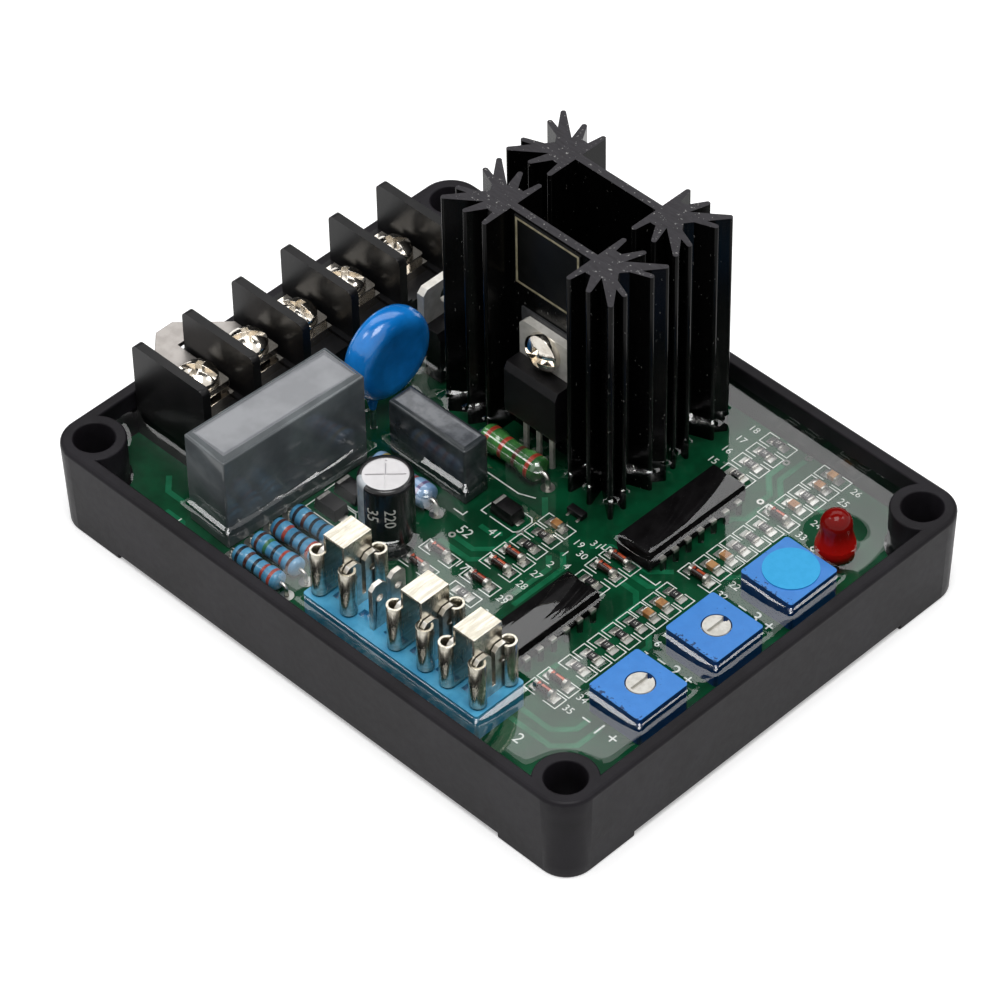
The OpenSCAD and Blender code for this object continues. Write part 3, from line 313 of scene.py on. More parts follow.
# Board print
# White ink on the mask: a bracket round each small part and plain numbers beside it.
# The ink lies a few hundredths of a millimetre over the board.
INK_LEVEL = BOARD_TOP + 0.045
INK_FINE, INK_MEDIUM, INK_BROAD = 0.16, 0.18, 0.2
BRACKET_GAP, BRACKET_HALF = 0.75, 1.12
CHIP_X, CHIP_YS = 20, (-14.6, 14.5)
ROW_A, ROW_B, ROW_C = 7.4, 18.5, 28.5
smd_resistor_at = [(ROW_A, y) for y in (0, -2.9, -15.7)] + [(ROW_B, -2)]
smd_resistor_at += [(ROW_C, y) for y in (4.3, -3.6, -6.4, -9.2, -12, -14.8, 17, 19.7, 22.4, 31)]
smd_resistor_at += [(ROW_B, y) for y in (27.4, 30.3, 33.2, 36)]
smd_capacitor_at = [(ROW_A, 2.7)] + [(ROW_C, y) for y in (1.6, -1, 11.7, 14.4, 28.3, 33.7, 36.4)]
glass_diode_at = [(ROW_A, y) for y in (-5.7, -8.5, -12.4)] + [(ROW_B, 1), (ROW_B, 3.8)]
glass_diode_at += [(ROW_C, y) for y in (9.1, 25.2, -18.5, -21.2)] + [(-0.5, -12.4), (-1, -16.1)]
small_parts_at = smd_resistor_at + smd_capacitor_at + glass_diode_at
moulded_diode_at = [(0.9, -0.5), (-17.3, -17), (-17.6, -12.9)]


def lettering(words, size, thickness):
    """A mesh of plain numbers, flat in the XY plane about the origin."""
    curve = bpy.data.curves.new("numbers", "FONT")
    curve.body = words
    curve.size = size
    curve.align_x = curve.align_y = "CENTER"
    curve.extrude = thickness / 2
    curve.resolution_u = 3
    writer = bpy.data.objects.new("numbers", curve)
    mesh = bpy.data.meshes.new_from_object(writer)
    bpy.data.objects.remove(writer)
    bpy.data.curves.remove(curve)
    return mesh


def join(target, mesh, finish=None):
    """Add a mesh to the target and remove it, all in one finish if that is given."""
    first = len(target.faces)
    target.from_mesh(mesh)
    bpy.data.meshes.remove(mesh)
    if finish is not None:
        target.faces.ensure_lookup_table()
        for face in target.faces[first:]:
            face.material_index = finish


def write(target, words, size, at, thickness=0.03, finish=None):
    """Set numbers flat on a level face."""
    mesh = lettering(words, size, thickness)
    mesh.transform(Matrix.Translation(at))
    join(target, mesh, finish)


ink_white = Finish("board_ink", "#dfe4de", 0.5, ("#cfd6cf", "#e9ece8", 0.8))
ink = bmesh.new()
for x, y in small_parts_at:
    reach = 3.0 if (x, y) in glass_diode_at else 2.6
    for side in (-1, 1):
        near, far = x + side * BRACKET_GAP, x + side * reach
        ribbon(ink, [(near, y - BRACKET_HALF), (far, y - BRACKET_HALF), (far, y + BRACKET_HALF),
                     (near, y + BRACKET_HALF)], INK_FINE, INK_LEVEL)
for x, y in moulded_diode_at:
    ribbon(ink, [(x - 1.6, y - 1.9), (x + 2.9, y - 1.9), (x + 3.5, y - 1.3), (x + 3.5, y + 1.3),
                 (x + 2.9, y + 1.9), (x - 1.6, y + 1.9)], INK_MEDIUM, INK_LEVEL)
    ribbon(ink, [(x - 2.2, y - 1.9), (x - 3.3, y - 1.9), (x - 3.3, y + 1.9), (x - 2.2, y + 1.9)],
           INK_MEDIUM, INK_LEVEL)
for outline in ([(-20.6, -34.4), (-31.2, -34.4), (-31.2, -32.6)],
                [(-3.6, -3.9), (-3.6, -4.8), (-5.4, -4.8)], [(-12.0, 3.6), (-1.0, 3.6), (1.4, 4.6)]):
    ribbon(ink, outline, INK_BROAD, INK_LEVEL)
for chip_y in CHIP_YS:
    for side in (-1, 1):
        near, far = CHIP_X + side * 2.2, CHIP_X + side * 5.2
        ribbon(ink, [(near, chip_y - 10.6), (far, chip_y - 10.6), (far, chip_y - 9.6)],
               INK_MEDIUM, INK_LEVEL)
thicken(ink, 0.03)
ink_height = INK_LEVEL - 0.015
for number, (x, y) in enumerate(small_parts_at, 1):
    if x in (ROW_A, ROW_C) and y < 30 and not -24 < y < -17:
        write(ink, str(number), 1.7, (x + 4.6, y - 0.4, ink_height))
    elif x == ROW_B:
        write(ink, str(number), 1.7, (x - 4.6, y, ink_height))
    elif x == ROW_C:
        write(ink, str(number), 1.7, (x + 4.4, y, ink_height))
for words, size, at in (("41", 2.0, (2.2, -4.4)), ("17", 2.0, (3.4, -12.0)), ("2", 2.6, (31.8, -29.6)),
                        ("− 1 +", 3.0, (38.4, -21.0)), ("− 2 +", 3.0, (38.2, -6.2)),
                        ("− 3 +", 3.0, (39.2, 8.8)), ("52", 2.4, (-1.0, -7.0)), ("8", 2.4, (36.0, 24.4))):
    write(ink, words, size, (*at, ink_height))
add_piece("board_print", ink, [ink_white])

# Surface-mounted parts
# Chip resistors and ceramic capacitors are small fired blocks with tinned ends, soldered to two pads.
# Each stands on its pads with a solder fillet at both ends.


def soften(mesh, edge, segments=2):
    """Round every edge of a mesh."""
    bmesh.ops.bevel(mesh, geom=mesh.edges[:], offset=edge, segments=segments, profile=0.5,
                    affect="EDGES", material=-1)


def block(low, high, edge=0.0, segments=2, finish=0):
    """A box between two corners, with eased edges."""
    low, high = Vector(low), Vector(high)
    mesh = bmesh.new()
    bmesh.ops.create_cube(mesh, size=1, matrix=Matrix.Translation((low + high) / 2)
                          @ Matrix.Diagonal((*(high - low), 1)))
    if edge:
        soften(mesh, edge, segments)
    for face in mesh.faces:
        face.material_index = finish
    return mesh


def gather(target, part, place=None):
    """Add a finished mesh to another one, moved into place."""
    mesh = bpy.data.meshes.new("part")
    part.to_mesh(mesh)
    part.free()
    if place is not None:
        mesh.transform(place)
    join(target, mesh)


def chip_part(length, width, thickness):
    """A fired block with two wrapped tin ends on its pads; finishes 0 body, 1 tin, 2 solder."""
    whole = bmesh.new()
    gather(whole, block((-length / 2 + 0.3, -width / 2 + 0.02, 0.06),
                        (length / 2 - 0.3, width / 2 - 0.02, thickness - 0.02), 0.04, 1))
    for side in (-1, 1):
        ends = sorted((side * (length / 2 - 0.38), side * length / 2))
        gather(whole, block((ends[0], -width / 2, 0.04), (ends[1], width / 2, thickness), 0.08, 2, 1))
        pads = sorted((side * (length / 2 - 0.5), side * (length / 2 + 0.75)))
        pad = block((pads[0], -width / 2 - 0.12, 0.03), (pads[1], width / 2 + 0.12, 0.3), 0.1, 2, 2)
        for vert in pad.verts:
            if side * vert.co.x > length / 2 + 0.2 and vert.co.z > 0.1:
                vert.co.z = 0.1
        bmesh.ops.remove_doubles(pad, verts=pad.verts[:], dist=0.001)
        gather(whole, pad)
    return whole


tin = Finish("tin_plate", "#c2bfb8", 0.3, ("#b2aea6", "#d0cdc6", 1.2), Metallic=1.0)
tin.feed("Roughness", tin.grain(0.7) * 0.2 + 0.22)
resistor_black = Finish("resistor_glaze", "#171618", 0.35, ("#131214", "#1f1d20", 0.8))
number_white = Finish("part_ink", "#d8d6d0", 0.5, ("#ccc9c2", "#e4e2dc", 0.4))
chip_resistors = bmesh.new()
for i, (x, y) in enumerate(smd_resistor_at):
    gather(chip_resistors, chip_part(2.0, 1.25, 0.55), Matrix.Translation((x, y, BOARD_TOP)))
    write(chip_resistors, str(10 + i), 0.72, (x, y, BOARD_TOP + 0.545), 0.02, 3)
add_piece("chip_resistors", chip_resistors, [resistor_black, tin, solder, number_white],
          ["smd_resistors"])

ceramic_tan = Finish("fired_ceramic", "#a9763f", 0.42, ("#935f2e", "#b98a58", 1.6))
chip_capacitors = bmesh.new()
for x, y in smd_capacitor_at:
    gather(chip_capacitors, chip_part(2.0, 1.25, 0.9), Matrix.Translation((x, y, BOARD_TOP)))
add_piece("chip_capacitors", chip_capacitors, [ceramic_tan, tin, solder],
          ["smd_capacitors"])

# Glass diodes
# Small sealed glass rods with metal end caps, soldered on their sides.
# The slug inside shows orange along the top. The ring at the marked end is dark, and the sides of the body
# are painted dark as shade.


def turned(profile, steps, along=None, bands=None):
    """Spin a profile of (radius, height) points about Z, then lay it along an axis."""
    mesh = bmesh.new()
    verts = [mesh.verts.new((r, 0, h)) for r, h in profile]
    edges = [mesh.edges.new(pair) for pair in zip(verts, verts[1:])]
    bmesh.ops.spin(mesh, geom=verts + edges, cent=(0, 0, 0), axis=(0, 0, 1), angle=math.tau,
                   steps=steps, use_merge=True)
    bmesh.ops.remove_doubles(mesh, verts=mesh.verts[:], dist=0.0005)
    bmesh.ops.recalc_face_normals(mesh, faces=mesh.faces[:])
    for low, high, finish in bands or ():
        for face in mesh.faces:
            if low <= face.calc_center_median().z <= high:
                face.material_index = finish
    if along == "X":
        bmesh.ops.rotate(mesh, matrix=Matrix.Rotation(math.pi / 2, 3, "Y"), verts=mesh.verts[:])
    return mesh


def feet(target, at, near, far, half_width, top, edge, finish):
    """A soldered foot at each end of a part."""
    x, y = at
    for side in (-1, 1):
        ends = sorted((side * near, side * far))
        gather(target, block((x + ends[0], y - half_width, BOARD_TOP + 0.03),
                             (x + ends[1], y + half_width, BOARD_TOP + top), edge, 2, finish))


glass_orange = Finish("diode_glass", "#b4432a", 0.12, ("#96321c", "#c65a36", 1.0), Coat_Weight=0.4)
ring_and_shade_dark = Finish("diode_ring_and_painted_shade", "#2a1712", 0.2, ("#1c100d", "#38201a", 0.5))
glass_parts = bmesh.new()
for x, y in glass_diode_at:
    rod = turned([(0, -1.7), (0.6, -1.7), (0.7, -1.62), (0.7, -1.1), (0.62, -1.0), (0.62, -0.72),
                  (0.62, -0.42), (0.62, 0.2), (0.62, 1.0), (0.7, 1.1), (0.7, 1.62), (0.6, 1.7), (0, 1.7)],
                 20, "X", [(-1.8, -1.05, 1), (1.05, 1.8, 1), (-0.73, -0.41, 2)])
    # Painted shade: every body face below the top takes the dark ring finish.
    for face in rod.faces:
        if face.material_index == 0 and face.calc_center_median().z < 0.57:
            face.material_index = 2
    gather(glass_parts, rod, Matrix.Translation((x, y, BOARD_TOP + 0.82)))
    feet(glass_parts, (x, y), 1.15, 2.5, 0.8, 0.3, 0.12, 3)
add_piece("glass_diode_set", glass_parts, [glass_orange, tin, ring_and_shade_dark, solder],
          ["glass_diodes"])

# Moulded diodes and the small transistor
# Black epoxy bodies with sloped sides, on flat tinned feet that fold under them.
# A pale bar marks one end of each diode.
TRANSISTOR_Y = 6.3
epoxy = Finish("black_epoxy", "#0d0c0d", 0.36, ("#0a090a", "#131214", 2.0), specular=0.25)
epoxy.bump(epoxy.grain(0.2), 0.01, 0.5)
mark_grey = Finish("polarity_bar", "#8d8c88", 0.5, ("#7d7c78", "#9a9894", 0.6))
moulded = bmesh.new()
for x, y in moulded_diode_at:
    body = block((-2.2, -1.35, 0.1), (2.2, 1.35, 2.1))
    for vert in body.verts:
        if vert.co.z > 1:
            vert.co.x *= 0.9
            vert.co.y *= 0.88
    soften(body, 0.12)
    gather(moulded, body, Matrix.Translation((x, y, BOARD_TOP)))
    gather(moulded, block((x - 1.75, y - 1.1, BOARD_TOP + 2.05), (x - 1.2, y + 1.1, BOARD_TOP + 2.11),
                          finish=1))
    feet(moulded, (x, y), 1.5, 2.75, 0.75, 0.26, 0.08, 2)
add_piece("moulded_diode_set", moulded, [epoxy, mark_grey, tin], ["moulded_diodes"])

transistor = bmesh.new()
gather(transistor, block((6.35, 5.65, BOARD_TOP + 0.08), (9.25, 6.95, BOARD_TOP + 1.0), 0.14))
for x, side in ((6.85, -1), (8.75, -1), (7.8, 1)):
    ends = sorted((TRANSISTOR_Y + side * 0.5, TRANSISTOR_Y + side * 1.2))
    gather(transistor, block((x - 0.2, ends[0], BOARD_TOP + 0.02),
                             (x + 0.2, ends[1], BOARD_TOP + 0.15), 0.04, 1, 1))
add_piece("transistor", transistor, [epoxy, tin], ["small_transistor"])

# Axial parts
# Film resistors, a power resistor and a choke: dipped dumb-bell bodies with painted colour bands.
# Their tinned leads bend down into the board at both ends and hold them a little off it.
AXIAL_LIFT = 0.25
FILM_D, FILM_LENGTH = 2.9, 8.8
POWER_D, POWER_LENGTH = 3.8, 11.0
CHOKE_D, CHOKE_LENGTH = 4.0, 11.2


def dumbbell(diameter, length, bands):
    """A dipped body along X: swollen ends, a slim waist and painted rings at the given places."""
    r, waist = diameter / 2, diameter / 2 - diameter * 0.07
    half, cap = length / 2, length * 0.27
    ends = [(0.0, -half), (r * 0.42, -half), (r * 0.72, -half + 0.1), (r * 0.92, -half + 0.32),
            (r, -half + 0.75), (r, -half + cap - 0.3), (r * 0.975, -half + cap), (waist, -half + cap + 0.4)]
    curve = ends + [(radius, -height) for radius, height in reversed(ends)]
    heights = sorted({h for low, high, _ in bands for h in (low, high)})
    radius_at = np.interp(heights, [h for _, h in curve[1:-1]], [q for q, _ in curve[1:-1]])
    curve = sorted(curve[1:-1] + list(zip(radius_at, heights)), key=lambda p: p[1])
    return turned([(0.0, -half)] + curve + [(0.0, half)], 40, "X", bands)


def ring_bands(length, finishes, width):
    """Painted rings: one finish number for each ring, spread over the body."""
    places = np.linspace(-length * 0.36, length * 0.36, len(finishes))
    return [(p - width / 2, p + width / 2, f) for p, f in zip(places, finishes)]


def axial_part(target, diameter, length, rings, at, ring_width=0.55):
    """Add a dumb-bell body with painted rings, on the level of its leads."""
    gather(target, dumbbell(diameter, length, ring_bands(length, rings, ring_width)),
           Matrix.Translation((*at, BOARD_TOP + AXIAL_LIFT + diameter / 2)))


resistor_blue = Finish("resistor_lacquer", "#448fb8", 0.3, ("#3a84ac", "#5aa1c8", 1.6), Coat_Weight=0.2)
band_finishes = [Finish(name, light, 0.35, (dark, light, 0.9)) for name, light, dark in (
    ("band_brown", "#5a2a1c", "#44201a"), ("band_black", "#141824", "#0e121c"),
    ("band_red", "#b4402c", "#8f3022"), ("band_green", "#2f7a4c", "#245f3b"),
    ("band_gold", "#b9a45a", "#978344"), ("band_violet", "#7b6c9c", "#64577f"))]
BROWN, BLACK, RED, GREEN, GOLD, VIOLET = range(1, 7)
film_parts = bmesh.new()
for i, rings in enumerate(((BLACK, BROWN, BLACK, RED, RED), (BROWN, GREEN, BLACK, RED, BROWN),
                           (BROWN, RED, BLACK, BLACK, RED), (BLACK, BROWN, BLACK, BLACK, BROWN))):
    axial_part(film_parts, FILM_D, FILM_LENGTH, rings, (FILM_X, FILM_Y + FILM_PITCH * i))
add_piece("film_resistor_set", film_parts, [resistor_blue] + band_finishes,
          ["film_resistors"])

power_lilac = Finish("power_resistor_lacquer", "#7fa5cf", 0.3, ("#7096c2", "#93b6da", 2.0),
                     Coat_Weight=0.4)
power_body = bmesh.new()
axial_part(power_body, POWER_D, POWER_LENGTH, (GOLD, RED, RED, RED, VIOLET), POWER_AT)
add_piece("power_resistor_body", power_body, [power_lilac] + band_finishes,
          ["power_resistor"])

choke_green = Finish("choke_lacquer", "#3d7a3c", 0.2, ("#2c6230", "#4f8f49", 2.4), Coat_Weight=0.6)
choke_body = bmesh.new()
axial_part(choke_body, CHOKE_D, CHOKE_LENGTH, (RED, RED, BROWN, RED), CHOKE_AT, 0.7)
add_piece("choke", choke_body, [choke_green] + band_finishes, ["choke_body"])
for node in ("film_resistor_leads", "power_resistor_leads", "choke_leads"):
    dress(node, tin)

# Chips
# Two 14-pin dual in-line chips: black epoxy bodies with tinned legs through the board.
# The legs are painted in dark green shade towards the board, and the resin covers both chips with a thin
# skin.
chip_epoxy = Finish("chip_epoxy", "#0b0a0b", 0.5, ("#080708", "#100f10", 2.0), specular=0.03)
for node in ("chip_front_body", "chip_rear_body"):
    dress(node, chip_epoxy, 0.1)
leg_tin_painted_shade = Finish("leg_tin_painted_shade", "#c2bfb8", 0.3, Metallic=0.9)
# Painted shade: dark green low on the legs, bright tin from about 9.5 mm up.
shoulder = leg_tin_painted_shade.ramp(leg_tin_painted_shade.place(2), 8.9, 9.5)
leg_tin_painted_shade.feed("Base Color", leg_tin_painted_shade.blend(shoulder, tone("#1f3a2c"), tone("#cfccc4")))
for node in ("chip_front_pins", "chip_rear_pins"):
    dress(node, leg_tin_painted_shade)

# Potting resin
# Clear casting resin poured over the board to about 3 mm. It wets whatever stands in it, so its
# level surface climbs at every wall and foot, and it lies as a thin skin over the tallest flat parts.
RESIN_TOP = 10.8
CAVITY_X, CAVITY_Y = 48.85, 37.85
BOSS_X, BOSS_Y, BOSS_R = 46, 35, 4.6
FILLET_REACH, FILLET_SLOPE, FILLET_EASE = 1.25, 0.62, 0.22
CROWD_LIMIT, SKIN_BLEND = 2.2, 9
CAN_AT, LAMP_AT, VARISTOR_AT = (-7.3, -15.7), (39.9, 24.2), (-26, 2.7)
VARISTOR_LEADS = ((0.7, -3.75), (-0.7, 3.75))
LARGE_CASE, LARGE_CASE_AT, LARGE_CASE_TURN = (8.4, 25.8, 16.8), (-25.6, -19.1), -2.6
CHIP_HALF, WEB_HALF = (2.9, 9.5), (8, 0.65)
SINKS_AT, STAR_X = ((-4.3, 14.4), (-5.0, 27.8)), 10.4
DEVICE_LEADS_AT = ((-4.0, 10.85), (-4.7, 31.35))
# Half of one star of fins: root, tip and half thickness, from the star's middle.
FINS = (((-2.2, 0), (-2.35, 5.2), 0.45), ((-1.1, 0), (1.35, 5.25), 0.55),
        ((0.1, 0), (5.4, 5.3), 0.6), ((0, 0.75), (5.4, 2.65), 0.45))


def box_gap(x, y, low, high, turn=0.0):
    """Signed distance from an upright box, with its middle turned about Z by degrees."""
    middle = ((low[0] + high[0]) / 2, (low[1] + high[1]) / 2)
    c, s = math.cos(math.radians(turn)), math.sin(math.radians(turn))
    u = np.abs((x - middle[0]) * c + (y - middle[1]) * s) - (high[0] - low[0]) / 2
    v = np.abs((y - middle[1]) * c - (x - middle[0]) * s) - (high[1] - low[1]) / 2
    return np.hypot(np.maximum(u, 0), np.maximum(v, 0)) + np.minimum(np.maximum(u, v), 0)


def rod_gap(x, y, start, end, radius):
    """Signed distance from a round-ended bar seen from above."""
    ax, ay = start
    bx, by = end[0] - ax, end[1] - ay
    t = np.clip(((x - ax) * bx + (y - ay) * by) / (bx * bx + by * by + 1e-9), 0, 1)
    return np.hypot(x - ax - t * bx, y - ay - t * by) - radius


def plan_box(node):
    """The low and high corners of a solid, seen from above."""
    low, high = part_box(node)
    return [c / MM for c in low[:2]], [c / MM for c in high[:2]]


def around(at, half):
    """The low and high corners of a box about its middle, from half its sizes."""
    return [a - h for a, h in zip(at, half)], [a + h for a, h in zip(at, half)]


def fall(gap, reach):
    """The climb at a wall dies away outside it, and rises on inside, where the piece hides it."""
    return np.where(gap > 0, np.exp(-np.maximum(gap, 0) / reach), 1 - np.maximum(gap, -0.3) / reach)


def resin_height(x, y):
    """The height of the resin's surface over the tray's base, at every point of the grid."""
    cubes = np.zeros_like(x)

    def wets(gap, climb, reach):
        np.add(cubes, (climb * fall(gap, reach)) ** 3, out=cubes)

    def wets_round(spot, radius, climb, reach):
        wets(rod_gap(x, y, spot, spot, radius), climb, reach)

    def fillet(gap):
        foot = FILLET_REACH - np.maximum(gap, -0.3)
        climb = FILLET_SLOPE * np.logaddexp(0, foot / FILLET_EASE) * FILLET_EASE
        np.add(cubes, climb ** 3, out=cubes)

    for wall in (CAVITY_X - np.abs(x), CAVITY_Y - np.abs(y)):
        wets(wall, 1.3, 3.0)
    for right, rear, climb in ((1, -1, 1.2), (1, 1, 0.3), (-1, -1, 0.4), (-1, 1, 0.4)):
        wets_round((right * BOSS_X, rear * BOSS_Y), BOSS_R, climb, 2.4)
    wets(box_gap(x, y, *plan_box("terminal_block")), 0.8, 1.5)
    wets(box_gap(x, y, *plan_box("upright_device_body")), 0.6, 1.1)
    large_half = [size / 2 for size in LARGE_CASE[:2]]
    fillet(box_gap(x, y, *around(LARGE_CASE_AT, large_half), LARGE_CASE_TURN))
    for node in ("film_capacitor_small", "jumper_header", "voltage_trimmer_body",
                 "stability_trimmer_body", "frequency_trimmer_body"):
        fillet(box_gap(x, y, *plan_box(node)))
    wets_round(CAN_AT, 4.0, 0.6, 1.2)
    wets_round(LAMP_AT, 2.95, 0.9, 2.3)
    for lead_x, lead_y in VARISTOR_LEADS:
        wets_round((VARISTOR_AT[0] + lead_x, VARISTOR_AT[1] + lead_y), 0.4, 0.6, 0.7)
    for base_x, base_y in DEVICE_LEADS_AT:
        for lead_x in (-2.54, 0, 2.54):
            wets_round((base_x + lead_x, base_y), 0.45, 0.5, 0.7)
    crowd = np.zeros_like(x)
    for sink_x, sink_y in SINKS_AT:
        crowd += 0.8 * fall(box_gap(x, y, *around((sink_x, sink_y), WEB_HALF)), 0.9)
        for side in (-1, 1):
            u, v = (x - sink_x) * side - STAR_X, np.abs(y - sink_y)
            crowd += 0.5 * fall(rod_gap(u, v, (-1.0, 0), (-1.0, 0), 2.2), 0.9)
            for root, tip, radius in FINS:
                crowd += 0.5 * fall(rod_gap(u, v, root, tip, radius), 0.9)
    waver = 1 + 0.12 * np.sin(1.9 * x + 1.3 * np.sin(0.8 * y)) * np.sin(2.3 * y + 1.1 * np.sin(0.7 * x))
    height = RESIN_TOP + np.cbrt(cubes + (CROWD_LIMIT * np.tanh(crowd * waver / CROWD_LIMIT)) ** 3)
    for chip_y in CHIP_YS:
        gap = np.maximum(box_gap(x, y, *around((CHIP_X, chip_y), CHIP_HALF)), 0)
        crown = 0.3 * np.maximum(1 - ((x - CHIP_X) / 3.4) ** 2, 0)
        height = np.maximum(height, RESIN_TOP + (0.35 + crown) * np.exp(-(gap / 0.75) ** 1.5))
    for at, length, radius in ((POWER_AT, POWER_LENGTH, POWER_D / 2),
                               (CHOKE_AT, CHOKE_LENGTH, CHOKE_D / 2)):
        gap = rod_gap(x, y, *around(at, (length / 2 - 0.9, 0)), 0)
        skin = np.sqrt(np.maximum((radius + 0.14) ** 2 - gap ** 2, 0))
        bump = BOARD_TOP + AXIAL_LIFT + radius + skin
        height = np.logaddexp(height * SKIN_BLEND, bump * SKIN_BLEND) / SKIN_BLEND
    return height


resin = Finish("clear_resin", "#ffffff", 0.03, Metallic=1.0)
facing = resin.node("LayerWeight", None, {"Blend": 0.5}, 1)
resin.feed("Alpha", facing ** 5 * 0.9 + 0.058)
resin.bump(resin.grain(4.0, detail=0.0), 0.02, 0.5)

pour = bmesh.new()
CELL = 0.31
half_x, half_y = CAVITY_X - 0.02, CAVITY_Y - 0.02
bmesh.ops.create_grid(pour, x_segments=round(2 * half_x / CELL), y_segments=round(2 * half_y / CELL),
                      size=1, matrix=Matrix.Diagonal((half_x, half_y, 1, 1)))
hidden = [v for v in pour.verts
          if math.hypot(abs(v.co.x) - BOSS_X, abs(v.co.y) - BOSS_Y) < BOSS_R - 1.5 * CELL
          or (abs(v.co.x) > BOSS_X and abs(v.co.y) > BOSS_Y)]
bmesh.ops.delete(pour, geom=hidden, context="VERTS")
plan = np.array([v.co[:2] for v in pour.verts])
for vert, height in zip(pour.verts, resin_height(plan[:, 0], plan[:, 1])):
    vert.co.z = height
rim = [e for e in pour.edges if e.is_boundary]
skirt = bmesh.ops.extrude_edge_only(pour, edges=rim)["geom"]
for vert in [v for v in skirt if isinstance(v, bmesh.types.BMVert)]:
    vert.co.z = BOARD_TOP - 0.06
low_rim = [e for e in skirt if isinstance(e, bmesh.types.BMEdge) and e.is_boundary]
bmesh.ops.contextual_create(pour, geom=low_rim)
bmesh.ops.recalc_face_normals(pour, faces=pour.faces[:])
add_piece("resin_pour", pour, [resin], ["potting_resin"], crease=70)

# Terminal block
# A black barrier strip for five wires: tinned contact strips, square clamp plates and pan-head screws
# with a slot and a cross. A stamped link plate joins the first two terminals.
strip_plastic = Finish("terminal_plastic", "#131314", 0.34, ("#101011", "#181718", 5.0), specular=0.2)
strip_plastic.bump(strip_plastic.grain(0.4), 0.012, 0.5)
dress("terminal_block", strip_plastic, 0.16)
nickel = Finish("nickel_plate", "#e0d9ce", 0.16, ("#d6cec2", "#e6e0d6", 1.4), Metallic=1.0)
nickel.feed("Roughness", nickel.grain(1.2, detail=1.0) * 0.1 + 0.1)
for node in ("terminal_contacts", "clamp_plates"):
    dress(node, nickel, 0.22, 3)
dress("terminal_screws", nickel, 0.06)
stamped = Finish("stamped_plate", "#a09b97", 0.38, ("#9a9591", "#a7a29e", 2.0), Metallic=1.0)
stamped.bump(stamped.grain(0.4, (6, 1, 1)), 0.01, 0.6)
dress("terminal_link_plate", stamped, 0.1)

# Heat sinks
# Two black aluminium extrusions stand in the resin: a web with a star of tapered fins at each end.
# Die lines run up the gloss sides, the sawn tops are duller, and the coat is nicked along its edges.
# A bare black plate with a plain border lies on the web of the front one.
sink_black = Finish("black_anodising", "#050505", 0.24, specular=0.12)
sawn = sink_black.ramp(sink_black.place(2), 47.42, 47.48)
lines = sink_black.grain(0.35, (1, 1, 90))
flecks = sink_black.ramp(sink_black.grain(0.4, (1, 1, 2.6), 4.0), 0.685, 0.73)
side_tone = sink_black.blend(lines, tone("#030303"), tone("#080808"))
worn = sink_black.blend(flecks * 0.4, side_tone, tone("#a3a29f"))
saw_marks = sink_black.grain(0.3, (5, 1, 1))
nicks = sink_black.ramp(sink_black.grain(0.45, detail=5.0), 0.63, 0.7)
saw_tone = sink_black.blend(saw_marks, tone("#242325"), tone("#413f43"))
top_tone = sink_black.blend(nicks * 0.75, saw_tone, tone("#a8a7a5"))
sink_black.feed("Base Color", sink_black.blend(sawn, worn, top_tone))
sink_black.feed("Roughness", sawn * 0.25 + lines * 0.12 + 0.16)
sink_black.bump(lines * (1 - sawn) + sink_black.grain(0.25) * sawn, 0.012, 0.6)
for node in ("heat_sink_front", "heat_sink_rear"):
    dress(node, sink_black, 0.09)

plate_black = Finish("plate_black", "#0b0b0b", 0.3, ("#080808", "#0f0f0f", 3.0), specular=0.2)
plate_gold = Finish("plate_border", "#a29a7c", 0.42, ("#928a6d", "#b3ab8e", 1.2))
plate = block((-11.0, 13.43, 34.8), (1.6, 13.73, 47.1))
front = min(plate.faces, key=lambda f: f.calc_center_median().y)
bmesh.ops.inset_region(plate, faces=[front], thickness=0.3)
for face in bmesh.ops.inset_region(plate, faces=[front], thickness=0.55)["faces"]:
    face.material_index = 1
add_piece("bare_plate", plate, [plate_black, plate_gold])

# Power devices
# Three transistors with moulded bodies on tinned copper tabs. Two are screwed to the heat sinks through
# soft insulating pads, with a nut behind the web, and one stands free by the varistor.
tab_metal = Finish("device_tab", "#dcd9d1", 0.42, ("#d0cdc5", "#e4e1da", 1.6), Metallic=0.4)
tab_metal.bump(tab_metal.grain(0.3, (1, 1, 5)), 0.008, 0.5)
for device in ("front", "rear", "upright"):
    dress(device + "_device_body", epoxy, 0.12)
    dress(device + "_device_frame", tab_metal, 0.06)
pad_grey = Finish("insulating_pad", "#2c2d2f", 0.62, ("#262729", "#343537", 0.9))
dress("insulating_pads", pad_grey)
dress("device_screws", nickel, 0.06)
dress("device_nuts", nickel, 0.08)

# Film capacitors
# Boxed film capacitors: a moulded grey case with a sloped rim, filled with epoxy to just under it.
# They stand on the board on two leads.


def lead_wire(tip, radius, low, shoulder, high, finish):
    """A round wire down to a chamfered end, all in one finish."""
    wire = turned([(0, low), (tip, low), (radius, shoulder), (radius, high), (0, high)], 16)
    for face in wire.faces:
        face.material_index = finish
    return wire


